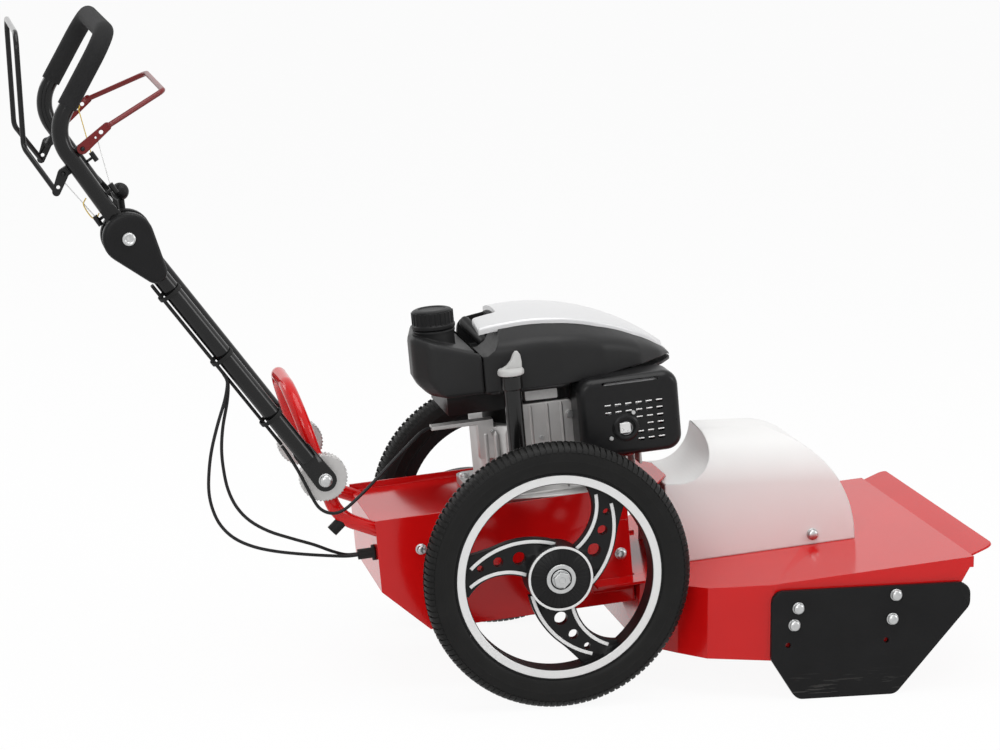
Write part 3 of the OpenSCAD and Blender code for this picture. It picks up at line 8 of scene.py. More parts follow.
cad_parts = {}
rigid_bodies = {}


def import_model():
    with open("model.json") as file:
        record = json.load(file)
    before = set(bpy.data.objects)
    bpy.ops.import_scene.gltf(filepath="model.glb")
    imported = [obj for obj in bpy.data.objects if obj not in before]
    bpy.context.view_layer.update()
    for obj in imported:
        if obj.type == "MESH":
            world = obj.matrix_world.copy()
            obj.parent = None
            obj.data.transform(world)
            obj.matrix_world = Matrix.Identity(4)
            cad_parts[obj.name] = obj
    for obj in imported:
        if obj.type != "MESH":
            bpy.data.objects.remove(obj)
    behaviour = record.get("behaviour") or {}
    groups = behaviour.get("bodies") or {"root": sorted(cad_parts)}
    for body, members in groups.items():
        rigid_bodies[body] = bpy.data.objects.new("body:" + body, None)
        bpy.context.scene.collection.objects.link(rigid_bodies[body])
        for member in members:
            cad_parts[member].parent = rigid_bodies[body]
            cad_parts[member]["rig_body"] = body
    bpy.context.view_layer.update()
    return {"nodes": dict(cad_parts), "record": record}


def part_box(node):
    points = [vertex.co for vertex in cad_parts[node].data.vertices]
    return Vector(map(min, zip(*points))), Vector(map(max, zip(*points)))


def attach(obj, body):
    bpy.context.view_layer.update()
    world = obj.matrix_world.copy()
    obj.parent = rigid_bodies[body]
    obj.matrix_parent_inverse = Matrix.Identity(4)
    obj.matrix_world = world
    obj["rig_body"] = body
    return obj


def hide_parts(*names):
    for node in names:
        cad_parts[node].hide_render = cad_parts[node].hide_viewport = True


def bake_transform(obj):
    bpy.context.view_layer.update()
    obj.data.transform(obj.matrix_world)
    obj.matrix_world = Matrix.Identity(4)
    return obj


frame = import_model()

# The view: a long lens low on the machine's right, a little behind its middle.
# The camera stands where the photograph was taken from, and looks slightly down.
CAMERA_AT = Vector((-0.9208, -4.6737, 1.3650))
CAMERA_YAW, CAMERA_PITCH = radians(11.28), radians(10.75)
LENS_MM, SENSOR_MM, FAR_CLIP = 112.93, 36.0, 120.0
scene = bpy.context.scene


def placed(name, data):
    """New object in the scene."""
    obj = bpy.data.objects.new(name, data)
    scene.collection.objects.link(obj)
    return obj


lens = bpy.data.cameras.new("view")
lens.lens, lens.sensor_width, lens.clip_end = LENS_MM, SENSOR_MM, FAR_CLIP
camera = placed("view", lens)
camera.location = CAMERA_AT
camera.rotation_euler = (pi / 2 - CAMERA_PITCH, 0.0, -CAMERA_YAW)
scene.camera = camera
scene.view_settings.view_transform = "Standard"

# The studio: a white sweep of floor under soft lamps, with white all round.
# The floor is pale paper that keeps the machine's shadow.


def operators(operation):
    """An operator and its reflected form, for a plain number on the left."""
    return (lambda self, other: self.maths(operation, self, other),
            lambda self, other: self.maths(operation, other, self))


class Wire:
    """A value in a node tree; arithmetic on it adds Math nodes."""

    __add__, __radd__ = operators("ADD")
    __sub__, __rsub__ = operators("SUBTRACT")
    __mul__, __rmul__ = operators("MULTIPLY")
    __truediv__, __rtruediv__ = operators("DIVIDE")
    __gt__, __lt__ = operators("GREATER_THAN")

    def __init__(self, tree, socket):
        self.tree, self.socket = tree, socket

    def maths(self, operation, left, right):
        node = self.tree.nodes.new("ShaderNodeMath")
        node.operation = operation
        for slot, value in zip(node.inputs, (left, right)):
            if isinstance(value, Wire):
                self.tree.links.new(value.socket, slot)
            else:
                slot.default_value = value
        return Wire(self.tree, node.outputs[0])

    def most(self, other):
        return self.maths("MAXIMUM", self, other)

    def least(self, other):
        return self.maths("MINIMUM", self, other)


class Graph:
    """A node tree with one method that adds any node."""

    family = "ShaderNode"

    def __init__(self, tree):
        self.tree = tree
        tree.nodes.clear()

    def node(self, kind, settings=None, sockets=None, out=0):
        node = self.tree.nodes.new(kind if "Node" in kind else self.family + kind)
        for key, value in (settings or {}).items():
            setattr(node, key, value)
        for key, value in (sockets or {}).items():
            if isinstance(value, Wire):
                self.tree.links.new(value.socket, node.inputs[key])
            else:
                node.inputs[key].default_value = value
        return Wire(self.tree, node.outputs[out]) if node.outputs else node


class Finish(Graph):
    """A material, with the textures that its surface needs."""

    def __init__(self, name, owner=None):
        self.data = owner or bpy.data.materials.new(name)
        self.data.use_nodes = True
        self.noises = {}
        super().__init__(self.data.node_tree)

    def place(self):
        return self.node("TexCoord", out="Object")

    def grain(self, size, detail=3.0, stretch=(1.0, 1.0, 1.0)):
        """Noise of a size in metres, pulled out along an axis; asked for again, it is the same one."""
        key = size, detail, stretch
        if key not in self.noises:
            spot = self.node("Mapping", None, {"Vector": self.place(), "Scale": stretch})
            self.noises[key] = self.node("TexNoise", None, {
                "Vector": spot, "Scale": 1.0 / size, "Detail": detail})
        return self.noises[key]

    def cells(self, size):
        """Distance to the nearest of many points, as in pebbled plastic or foam."""
        return self.node("TexVoronoi", None, {"Vector": self.place(), "Scale": 1.0 / size}, "Distance")

    def between(self, mask, low, high):
        """Colour that runs from low, which may vary already, to high with the mask."""
        low = low if isinstance(low, Wire) else (*low, 1.0)
        return self.node("Mix", {"data_type": "RGBA"}, {"Factor": mask, 6: low, 7: (*high, 1.0)}, 2)

    def softened(self, radius):
        """Normal that turns round the edges as a small radius would."""
        return self.node("Bevel", {"samples": 6}, {"Radius": radius})

    def bump(self, height, depth, edge=0.0):
        sockets = {"Height": height, "Strength": 1.0, "Distance": depth}
        if edge:
            sockets["Normal"] = self.softened(edge)
        return self.node("Bump", None, sockets)

    def edges(self, radius):
        """Mask that is 1 on the outer edges and 0 on the flats."""
        flat = self.node("NewGeometry", out="Normal")
        turn = self.node("VectorMath", {"operation": "DOT_PRODUCT"},
                         {0: flat, 1: self.softened(radius)}, "Value")
        return ((1.0 - turn) * 6.0).least(1.0)

    def seen(self):
        """1 where the camera, a mirror or glass looks, 0 for other rays."""
        rays = [self.node("LightPath", out=name) for name in
                ("Is Camera Ray", "Is Glossy Ray", "Is Transmission Ray")]
        return rays[0].most(rays[1]).most(rays[2])

    def close(self, shader, kind="OutputMaterial"):
        node = self.tree.nodes.new("ShaderNode" + kind)
        self.tree.links.new(shader.socket, node.inputs["Surface"])
        return self.data

    def surface(self, **sockets):
        return self.close(self.node("BsdfPrincipled", None, sockets, "BSDF"))


WORLD_LEVEL = 0.56
sky = bpy.data.worlds.new("studio")
scene.world = sky
look = Finish("studio", sky)
level = look.seen() * (1.0 - WORLD_LEVEL) + WORLD_LEVEL
look.close(look.node("Background", None, {"Color": (1.0, 1.0, 1.0, 1.0), "Strength": level}), "OutputWorld")

FLOOR_HALF = 40.0
FLOOR_GLOW = 0.93
look = Finish("floor_paper")
paper = look.between(look.grain(0.4), (0.88, 0.88, 0.88), (0.92, 0.92, 0.92))
lit = look.node("BsdfDiffuse", None, {"Color": paper, "Roughness": 0.5})
glow = look.node("Emission", None, {"Color": (1.0, 1.0, 1.0, 1.0), "Strength": 1.0})
floor_paper = look.close(look.node("MixShader", None, {0: look.seen() * FLOOR_GLOW, 1: lit, 2: glow}))
mesh = bpy.data.meshes.new("floor")
mesh.from_pydata([(x * FLOOR_HALF, y * FLOOR_HALF, 0.0) for x, y in ((-1, -1), (1, -1), (1, 1), (-1, 1))],
                 [], [(0, 1, 2, 3)])
mesh.materials.append(floor_paper)
floor = placed("floor", mesh)

for name, spot, aim, size, watts in (
        ("lamp_top", (0.2, -0.6, 3.4), (0.0, 0.0, 0.3), 2.6, 50.0),
        ("lamp_near", (-1.6, -3.6, 2.2), (0.0, 0.0, 0.35), 1.6, 32.0),
        ("lamp_front", (3.2, -1.6, 1.7), (0.2, 0.0, 0.3), 1.4, 20.0),
        ("lamp_back", (-2.6, 2.6, 2.3), (-0.2, 0.0, 0.4), 1.6, 20.0)):
    bulb = bpy.data.lights.new(name, "AREA")
    bulb.shape, bulb.size, bulb.energy = "DISK", size, watts
    lamp = placed(name, bulb)
    lamp.location = spot
    lamp.rotation_euler = (Vector(aim) - Vector(spot)).to_track_quat("-Z", "Y").to_euler()

# Control cables: three black sheathed cables hang from the right handle tube in open loops.
# Two go into the gland on the box for the clutches, and one to the engine's control arm.
SHIFT = 0.0494886
CABLE_D = 0.005
ROUTES = {
    "cable_cutter": [(-485, -177, 510), (-481, -176, 503), (-480, -175, 493), (-484, -172, 470),
                     (-494, -167, 435), (-503, -160, 395), (-507, -155, 360), (-507, -150, 328),
                     (-501, -146, 300), (-489, -141, 275), (-469, -136, 254), (-440, -129, 238),
                     (-404, -122, 227), (-362, -115, 219), (-322, -108, 213), (-296, -104, 210),
                     (-278, -104, 211)],
    "cable_drive": [(-485, -171, 510), (-480, -170, 502), (-478, -169, 490), (-480, -166, 465),
                    (-486, -162, 430), (-488, -157, 395), (-485, -152, 362), (-478, -146, 330),
                    (-465, -140, 302), (-445, -134, 279), (-416, -127, 260), (-380, -119, 245),
                    (-346, -111, 232), (-318, -104, 219), (-296, -97, 211), (-278, -96, 211)],
    "cable_engine": [(-398, -152, 395), (-393, -152, 388), (-385, -152, 375), (-373, -152, 354),
                     (-361, -152, 330), (-352, -151, 312), (-343, -150, 298), (-331, -149, 290),
                     (-317, -147, 288), (-302, -143, 293), (-284, -134, 305), (-262, -121, 321),
                     (-234, -103, 343), (-205, -86, 366), (-181, -71, 384), (-169, -65, 391),
                     (-159, -62, 394)],
}


def level_place(x, y, z):
    """Place in millimetres from the ground under the axle, in metres from the part's origin."""
    return Vector((x / 1000 + SHIFT, y / 1000, z / 1000))


def smooth_path(points, steps):
    """Curve through the points, with steps between neighbours."""
    path = []
    for i in range(len(points) - 1):
        a, b = points[max(i - 1, 0)], points[i]
        c, d = points[i + 1], points[min(i + 2, len(points) - 1)]
        for k in range(steps):
            t = k / steps
            path.append(b + t / 2 * (c - a + t * (2 * a - 5 * b + 4 * c - d + t * (3 * (b - c) + d - a))))
    return path + [points[-1]]


def skin(rings, loop=False, ends=(True, True)):
    """Mesh through rings of equal count; its ends are capped unless its last ring joins its first."""
    form = bmesh.new()
    rows = [[form.verts.new(point) for point in ring] for ring in rings]
    count = len(rows[0])
    for a, b in zip(rows, rows[1:] + rows[:1] if loop else rows[1:]):
        for k in range(count):
            form.faces.new((a[k], a[(k + 1) % count], b[(k + 1) % count], b[k]))
    for row, capped in ((rows[0][::-1], ends[0]), (rows[-1], ends[1])):
        if capped and not loop:
            form.faces.new(row)
    bmesh.ops.remove_doubles(form, verts=form.verts, dist=1e-6)
    bmesh.ops.recalc_face_normals(form, faces=form.faces)
    mesh = bpy.data.meshes.new("skin")
    form.to_mesh(mesh)
    form.free()
    return mesh


def circle(middle, radius, side, up, count):
    """Points round a middle, from one direction towards another."""
    turns = [2 * pi * k / count for k in range(count)]
    return [middle + radius * (cos(t) * side + sin(t) * up) for t in turns]


def tube(path, radius, sides=12):
    """Round bar along a path; radius is a number or one for each point."""
    rings, side = [], None
    for i, point in enumerate(path):
        way = (path[min(i + 1, len(path) - 1)] - path[max(i - 1, 0)]).normalized()
        side = side or way.orthogonal()
        side = (side - way * side.dot(way)).normalized()
        r = radius[i] if isinstance(radius, list) else radius
        rings.append(circle(point, r, side, way.cross(side), sides))
    return skin(rings)


def shaped(mesh, *steps):
    """Mesh after modifiers, each given as its kind and its settings."""
    obj = placed("shaping", mesh)
    for kind, settings in steps:
        step = obj.modifiers.new(kind.lower(), kind)
        for key, value in settings.items():
            setattr(step, key, value)
    made = bpy.data.meshes.new_from_object(obj.evaluated_get(bpy.context.evaluated_depsgraph_get()))
    bpy.data.objects.remove(obj)
    return made


def faired(mesh, angle=32.0):
    """Mesh that is smooth up to an angle between its faces, and flat on its large ones."""
    mesh.polygons.foreach_set("use_smooth", [True] * len(mesh.polygons))
    mesh.set_sharp_from_angle(angle=radians(angle))
    return shaped(mesh, ("WEIGHTED_NORMAL", {"keep_sharp": True}))


def piece(name, mesh, finish, body, slot, *nodes):
    """Object of a finished mesh that rides on a body and stands for CAD nodes."""
    obj = placed(name, mesh)
    mesh.materials.clear()
    mesh.materials.append(finish)
    if body:
        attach(obj, body)
    if nodes:
        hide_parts(*nodes)
    return obj


def substance(name, low, high, tone, rough, relief, gloss=0.5, metal=0.0):
    """Material of one stuff. Its colour follows a noise, tone. Its roughness (swing and base) and
    its relief (depth and edge radius) follow the noise named after them, or else the one before."""
    look = Finish(name)
    swing, base, *wear = rough
    depth, edge, *grit = relief
    return look.surface(**{
        "Base Color": look.between(look.grain(*tone), low, high), "Metallic": metal,
        "Roughness": look.grain(*(wear or tone)) * swing + base, "Specular IOR Level": gloss,
        "Normal": look.bump(look.grain(*(grit or wear or tone)), depth, edge)})


cable_sheath = substance("cable_sheath", (0.006, 0.006, 0.0065), (0.014, 0.014, 0.015), (0.012, 4.0),
                         (0.25, 0.3), (0.0002, 0.0, 0.0015), gloss=0.25)
for name, route in ROUTES.items():
    path = smooth_path([level_place(*p) for p in route], 4)
    cable = piece(name + "_run", faired(tube(path, CABLE_D / 2), 60.0), cable_sheath, None, "rubber")
    tuple(path[0])
    tuple(path[-1])
    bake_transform(cable)
    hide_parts(name)
    length = sum((b - a).length for a, b in zip(path, path[1:]))
    tuple(path[0])
    [tuple(p) for p in path]

# Chassis box: a folded and welded sheet-steel tub on the axle, in glossy red enamel.
# Its top plate runs forward as a nose, and side brackets carry the deck.


def slot_of(node):
    return next(row["material_slot"] for row in frame["record"]["subparts"] if row["node"] == node)


def merged(node):
    """Copy of a CAD node's mesh with its faces joined along their edges."""
    form = bmesh.new()
    form.from_mesh(frame["nodes"][node].data)
    bmesh.ops.remove_doubles(form, verts=form.verts, dist=1e-5)
    bmesh.ops.dissolve_degenerate(form, edges=form.edges, dist=2e-6)
    mesh = bpy.data.meshes.new(node + "_form")
    form.to_mesh(mesh)
    form.free()
    return mesh


def remade(node, mesh, finish, angle=32.0):
    """Smooth mesh in a CAD node's place, on its body."""
    piece(node + "_look", faired(mesh, angle), finish, frame["nodes"][node]["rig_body"], slot_of(node), node)


def dressed(node, finish, angle=32.0):
    """Smooth copy of a CAD node in a finish of its own."""
    remade(node, merged(node), finish, angle)


PEEL, SOFT_EDGE = 0.00004, 0.0014


def paint(name, deep, bright, rough, gloss, worn):
    """Sprayed enamel: faint orange peel, a soft edge, and wear where the edges rub."""
    look = Finish(name)
    rub = look.edges(SOFT_EDGE) * (look.grain(0.006, 5.0) > 0.58) * (look.grain(0.05, 2.0) > 0.54)
    colour = look.between(look.grain(0.09, 2.0), deep, bright)
    return look.surface(**{
        "Base Color": look.between(rub * 0.5, colour, worn), "Specular IOR Level": gloss,
        "Roughness": look.grain(0.02, 4.0) * 0.06 + rub * 0.2 + rough,
        "Normal": look.bump(look.grain(0.0022, 2.0), PEEL, SOFT_EDGE)})


red_enamel = paint("red_enamel", (0.56, 0.0045, 0.0048), (0.62, 0.0060, 0.0062), 0.10, 0.32,
                   (0.30, 0.012, 0.012))
dressed("chassis_box", red_enamel, 20.0)

# Gearbox, axle and shafts inside the box: cast alloy housings that carry turned steel.
# The gearbox and the bearings are bolted into the tub, and the belts run over the pulleys.
cast_alloy = substance("cast_alloy", (0.44, 0.43, 0.425), (0.58, 0.57, 0.56), (0.03, 3.0),
                       (0.25, 0.36, 0.0016, 4.0), (0.00016, 0.0015), metal=0.8)
turned_steel = substance("turned_steel", (0.36, 0.36, 0.37), (0.52, 0.52, 0.52), (0.02, 4.0),
                         (0.2, 0.25, 0.0012, 3.0, (1.0, 0.2, 1.0)), (0.00005, 0.0006), metal=1.0)
moulded_rubber = substance("moulded_rubber", (0.007, 0.007, 0.007), (0.015, 0.015, 0.015), (0.02, 4.0),
                           (0.2, 0.5), (0.0001, 0.0008, 0.0012), gloss=0.2)
dressed("gearbox", cast_alloy)
for node in ("bearings", "axle", "crank_pulley", "input_pulley", "idler"):
    dressed(node, turned_steel)
dressed("belts", moulded_rubber)

# Deck: a folded sheet-steel cover over the cutter, sloping up to a rolled front lip.
# It is welded up, sprayed with the same red enamel and bolted to the box.
dressed("deck", red_enamel, 20.0)

# Skids: flat steel side plates that the deck rides on, bolted through its skirt.
# They are sprayed in a dull black that the ground has scratched along the lower edge.
look = Finish("skid_black")
streak = look.grain(0.003, 4.0, (0.06, 1.0, 1.0))
height = look.node("SeparateXYZ", None, {0: look.place()}, "Z")
scratch = (streak > 0.62) * (1.0 - height * 22.0).most(0.0)
colour = look.between(look.grain(0.05), (0.006, 0.006, 0.0063), (0.011, 0.011, 0.0115))
skid_black = look.surface(**{
    "Base Color": look.between(scratch * 0.4, colour, (0.12, 0.115, 0.11)),
    "Roughness": look.grain(0.004, 4.0) * 0.18 + 0.34, "Specular IOR Level": 0.14,
    "Normal": look.bump(look.grain(0.0011, 3.0), 0.00012, 0.0014)})
for side in ("left", "right"):
    dressed("skid_" + side, skid_black)

# Belt hood: a moulded white plastic arch on the deck that covers the belt and the spindle.
# One bolt on each side holds it to a tab of the deck.
hood_white = substance("hood_white", (0.775, 0.768, 0.76), (0.82, 0.813, 0.805), (0.12, 2.0),
                       (0.1, 0.3, 0.0018), (0.00003, 0.004), gloss=0.3)
dressed("belt_hood", hood_white, 25.0)

# Line rotor under the deck: a steel disc on a spindle, with nylon lines and a glide cup below.
# The spindle turns in a cast housing that is bolted up into the deck.
nylon_line = substance("nylon_line", (0.62, 0.50, 0.14), (0.76, 0.64, 0.26), (0.002,),
                       (0.15, 0.3), (0.00008, 0.0))
moulded_black = substance("moulded_black", (0.0055, 0.0055, 0.0058), (0.010, 0.010, 0.0106), (0.04,),
                          (0.2, 0.32, 0.0009), (0.00006, 0.0012), gloss=0.17)
dressed("spindle_housing", cast_alloy)
for node in ("spindle", "spindle_pulley", "cutter_disc"):
    dressed(node, turned_steel)
dressed("cutter_lines", nylon_line)
dressed("glide_cup", moulded_black)

# Hoop: a bent steel tube welded into the box, which carries the handle's toothed discs.
# Rubber bumpers sit on its arch, and a rubber gland on the box takes the cables in.
dressed("hoop", red_enamel)
dressed("hoop_discs", cast_alloy)
for node in ("hoop_bumpers", "cable_gland"):
    dressed(node, moulded_rubber)

# Body bolts: zinc-plated screws with domed heads, each on a washer, for the skids, hood,
# brackets, engine and handle. Every dome tops a plain CAD head, and a flanged bolt is set
# on each side of the box.


class Pattern(Graph):
    """A Geometry Nodes tree that sets copies of a unit, and keeps or drops what it was given."""

    family = "GeometryNode"

    def __init__(self, name, **inputs):
        super().__init__(bpy.data.node_groups.new(name, "GeometryNodeTree"))
        for way in ("OUTPUT", "INPUT"):
            self.tree.interface.new_socket("Geometry", in_out=way, socket_type="NodeSocketGeometry")
        for key, kind in dict(Unit="Object", Finish="Material", **inputs).items():
            self.tree.interface.new_socket(key, in_out="INPUT", socket_type="NodeSocket" + kind)
        self.door = self.tree.nodes.new("NodeGroupInput")

    def given(self, name):
        return Wire(self.tree, self.door.outputs[name])

    def copies(self, points, turn, size=1.0):
        unit = self.node("ObjectInfo", None, {"Object": self.given("Unit"), "As Instance": True}, "Geometry")
        sockets = {"Points": points, "Instance": unit, "Rotation": turn}
        if isinstance(size, Wire):
            sockets["Scale"] = size
        return self.node("InstanceOnPoints", None, sockets)

    def close(self, copies, keep):
        both = self.tree.nodes.new("GeometryNodeJoinGeometry")
        for wire in ([self.given("Geometry")] if keep else []) + [copies]:
            self.tree.links.new(wire.socket, both.inputs[0])
        real = self.node("RealizeInstances", None, {0: Wire(self.tree, both.outputs[0])})
        done = self.node("SetMaterial", None, {"Geometry": real, "Material": self.given("Finish")})
        self.node("NodeGroupOutput", None, {"Geometry": done})

    def grown(self, mesh, unit, **values):
        """Plain mesh that the tree makes, with its inputs set by name."""
        obj, part = (placed("growing", data) for data in (mesh, unit))
        step = obj.modifiers.new("pattern", "NODES")
        step.node_group = self.tree
        values["Unit"] = part
        for socket in self.tree.interface.items_tree:
            if socket.in_out == "INPUT" and socket.name in values:
                step[socket.identifier] = values[socket.name]
        made = bpy.data.meshes.new_from_object(obj.evaluated_get(bpy.context.evaluated_depsgraph_get()))
        for each in (obj, part):
            bpy.data.objects.remove(each)
        return made


facing = Pattern("heads_on_spots")
way = facing.node("InputNamedAttribute", {"data_type": "FLOAT_VECTOR"}, {"Name": "facing"})
size = facing.node("InputNamedAttribute", {"data_type": "FLOAT"}, {"Name": "size"})
turn = facing.node("FunctionNodeAlignRotationToVector", {"axis": "Z"}, {"Vector": way})
facing.close(facing.copies(facing.given("Geometry"), turn, size), False)


def spots(places):
    """Points for a pattern, from (place, direction, size) rows."""
    mesh = bpy.data.meshes.new("spots")
    mesh.from_pydata([place for place, way, size in places], [], [])
    mesh.attributes.new("facing", "FLOAT_VECTOR", "POINT").data.foreach_set(
        "vector", [value for place, way, size in places for value in way])
    mesh.attributes.new("size", "FLOAT", "POINT").data.foreach_set(
        "value", [size for place, way, size in places])
    return mesh


def head_ends(node):
    """Outer end of every screw in a node, in order: centre, direction and radius of its largest flat face."""
    form = bmesh.new()
    form.from_mesh(merged(node))
    bmesh.ops.dissolve_limit(form, angle_limit=radians(0.5), verts=form.verts, edges=form.edges)
    ends, left = [], set(form.faces)
    while left:
        island, edge = set(), {left.pop()}
        while edge:
            face = edge.pop()
            island.add(face)
            edge |= {other for side in face.edges for other in side.link_faces} - island
        left -= island
        end = max(island, key=lambda face: face.calc_area())
        centre = end.calc_center_bounds()
        ends.append((tuple(centre), tuple(end.normal), max((v.co - centre).length for v in end.verts)))
    form.free()
    return sorted(ends)


def turned(profile, spot=(0, 0, 0), way=(0, 0, 1), steps=48, loop=False):
    """Mesh turned round a line through spot, from (radius, distance along way) pairs."""
    spot, way = Vector(spot), Vector(way).normalized()
    side = way.orthogonal().normalized()
    return skin([circle(spot + way * h, r, side, way.cross(side), steps) for r, h in profile], loop)


def joined(*meshes):
    """One mesh of several."""
    form = bmesh.new()
    for mesh in meshes:
        form.from_mesh(mesh)
    made = bpy.data.meshes.new("joined")
    form.to_mesh(made)
    form.free()
    return made


zinc_plate = substance("zinc_plate", (0.40, 0.41, 0.42), (0.62, 0.62, 0.61), (0.006, 4.0),
                       (0.22, 0.2), (0.00004, 0.0006, 0.0008), metal=1.0)
DOME = [(0.99, 0.0), (0.96, 0.1), (0.86, 0.22), (0.66, 0.33), (0.4, 0.4), (0.0, 0.42)]
WASHER = [(0.9, -0.62), (1.16, -0.62), (1.16, -0.5), (1.1, -0.44), (0.9, -0.44)]
SIDE_BOLT = [(0.0, -0.001), (0.0085, -0.001), (0.0085, 0.0016), (0.0062, 0.0016), (0.0062, 0.0062),
             (0.0052, 0.0074), (0.0, 0.0078)]
SIDE_BOLT_X, SIDE_BOLT_Y, SIDE_BOLT_Z = -185.8, 130, 222.2
dome = joined(turned(DOME, steps=20), turned(WASHER, steps=24))
domes = facing.grown(spots(head_ends("body_bolts")), dome, Finish=zinc_plate)
side_bolts = [turned(SIDE_BOLT, level_place(SIDE_BOLT_X, side * SIDE_BOLT_Y, SIDE_BOLT_Z), (0, side, 0), 24)
              for side in (-1, 1)]
remade("body_bolts", joined(merged("body_bolts"), domes, *side_bolts), zinc_plate)

# Tyres: pneumatic rubber carcasses with two staggered rows of lugs round the shoulder.
# Each is turned from its section, and the lugs are moulded on in a ring.
AXLE, ACROSS = Vector((SHIFT, 0.0, 0.202)), (0.0, 1.0, 0.0)
MID_Y = 0.245
WHEELS = [(side, name, AXLE + Vector((0.0, side * MID_Y, 0.0)))
          for side, name in ((-1, "right"), (1, "left"))]
TYRE_HALF = [(158.2, 17.5), (160, 19.6), (164, 21.4), (170, 22.9), (175.5, 23.5), (177, 24.1), (178.5, 23.6),
             (184, 23.4), (189, 22.6), (192.5, 21.0), (195.5, 18.2), (197.6, 14.6), (198.8, 9.5)]
TREAD_R = 199.2
LUG_TOP = [(202, 3.5), (201.2, 10), (198.8, 16), (195, 20.6), (190.5, 23.4)]
LUG_COUNT, LUG_HALF, LUG_DEEP = 132, 3.1, 4.0

ring = Pattern("ring_of_units", Count="Int", Start="Float", Centre="Vector", Axis="Vector")
count = ring.given("Count")
line = ring.node("MeshLine", {"mode": "OFFSET"}, {"Count": count, "Start Location": ring.given("Centre"),
                                                 "Offset": (0.0, 0.0, 0.0)})
angle = ring.node("InputIndex") * (2 * pi) / count + ring.given("Start")
turn = ring.node("FunctionNodeAxisAngleToRotation", None, {"Axis": ring.given("Axis"), "Angle": angle})
ring.close(ring.copies(line, turn), True)

tyre_rubber = substance("tyre_rubber", (0.0055, 0.0055, 0.0054), (0.012, 0.012, 0.0116), (0.03, 4.0),
                        (0.16, 0.38), (0.0001, 0.0, 0.0015), gloss=0.15)


def lug(side):
    """One lug on a side of the tread, at the top of the wheel."""
    rings = []
    for i, (r, y) in enumerate(LUG_TOP):
        a, b = LUG_TOP[max(i - 1, 0)], LUG_TOP[min(i + 1, len(LUG_TOP) - 1)]
        out = Vector((0.0, side * (a[0] - b[0]), b[1] - a[1])).normalized()
        top = Vector((0.0, side * y, r))
        rings.append([(top + Vector((x, 0.0, 0.0)) - out * deep) / 1000 for x, deep in (
            (-LUG_HALF - 0.7, LUG_DEEP), (-LUG_HALF, 0.0), (LUG_HALF, 0.0), (LUG_HALF + 0.7, LUG_DEEP))])
    return skin(rings)


section = TYRE_HALF + [(TREAD_R, 0)] + [(r, -y) for r, y in TYRE_HALF[::-1]]
for _, name, hub in WHEELS:
    tyre = turned([(r / 1000, y / 1000) for r, y in section], hub, ACROSS, 144, True)
    for way in (-1, 1):
        tyre = ring.grown(tyre, lug(way), Count=LUG_COUNT, Start=pi * (way + 1) / 2 / LUG_COUNT, Centre=hub,
                          Axis=ACROSS, Finish=tyre_rubber)
    remade("tyre_" + name, tyre, tyre_rubber, 38.0)

# Wheels: moulded black plastic, with swept spokes between the hub and the rim.
# A silver band on the rim, a ring on the hub and two strips on each spoke are set into the face.
RIM_FACE, SPOKE_FACE, HUB_FACE = 0.018, 0.007, 0.025
STRIPS = ((-42, -72), 126, 70.5, 148.9), ((-78, -75), 84, 66.8, 145.7)
STRIP_W, STRIP_H, SUNK = 0.0052, 0.0011, 0.002
HUB_R, STRIP_R, BORDER_R, RIM_R = 0.0485, 0.1345, 0.1445, 0.149
BORDER_W, BORDER_HALF, BORDER_EDGE = 0.0048, 0.0066, 0.0008
FLARES, FLARE_FROM, FLARE_LENGTH = (0.034, 0.005), 0.1, 0.045
ARC_STEPS = 60

wheel_silver = substance("wheel_silver", (0.66, 0.66, 0.66), (0.78, 0.78, 0.775), (0.0007, 2.0),
                         (0.12, 0.24), (0.00002, 0.0008), metal=0.25)


def band(r0, r1, face, side):
    """Flat ring that stands a little proud of a face of the wheel."""
    low, high = face - SUNK, face + STRIP_H
    return turned([(r0, low), (r0, high - 0.0004), (r0 + 0.0006, high), (r1 - 0.0006, high),
                   (r1, high - 0.0004), (r1, low)], (0, 0, 0), (0, side, 0), 144, True)


def arc(centre, radius, start, stop, limit):
    """Places along a spoke's edge outside the hub, each with the direction away from the arc's centre."""
    for k in range(ARC_STEPS + 1):
        a = radians(start + (stop - start) * k / ARC_STEPS)
        out = Vector((cos(a), 0.0, sin(a)))
        spot = (Vector((centre[0], 0.0, centre[1])) + out * radius) / 1000
        if HUB_R < spot.length < limit:
            yield spot, out


def strip(row, side):
    """Curved silver strip along a spoke, from the hub's ring almost to the rim."""
    half = STRIP_W / 2
    return skin([[spot + out * w + Vector((0.0, side * (SPOKE_FACE + h), 0.0)) for w, h in (
        (-half, -SUNK), (-half, STRIP_H * 0.6), (-half + 0.0005, STRIP_H), (half - 0.0005, STRIP_H),
        (half, STRIP_H * 0.6), (half, -SUNK))] for spot, out in arc(*row, STRIP_R)])


def within(spot):
    """The place itself, or the nearest one inside the rim's ring."""
    return spot * min(1.0, RIM_R / spot.length)


def border(row, edge, flare):
    """Black edge of a spoke outside its strip, which flares out into the rim on the leading side."""
    rings, top, low = [], BORDER_HALF, BORDER_HALF - BORDER_EDGE
    for spot, out in arc(*row, BORDER_R):
        reach = edge * (BORDER_W + flare * max(0.0, (spot.length - FLARE_FROM) / FLARE_LENGTH) ** 2)
        shy = reach - edge * BORDER_EDGE
        rings.append([within(spot + out * w) + Vector((0.0, h, 0.0)) for w, h in (
            (0.0, -top), (0.0, top), (shy, top), (reach, low), (reach, -low), (shy, -top))])
    return skin(rings)


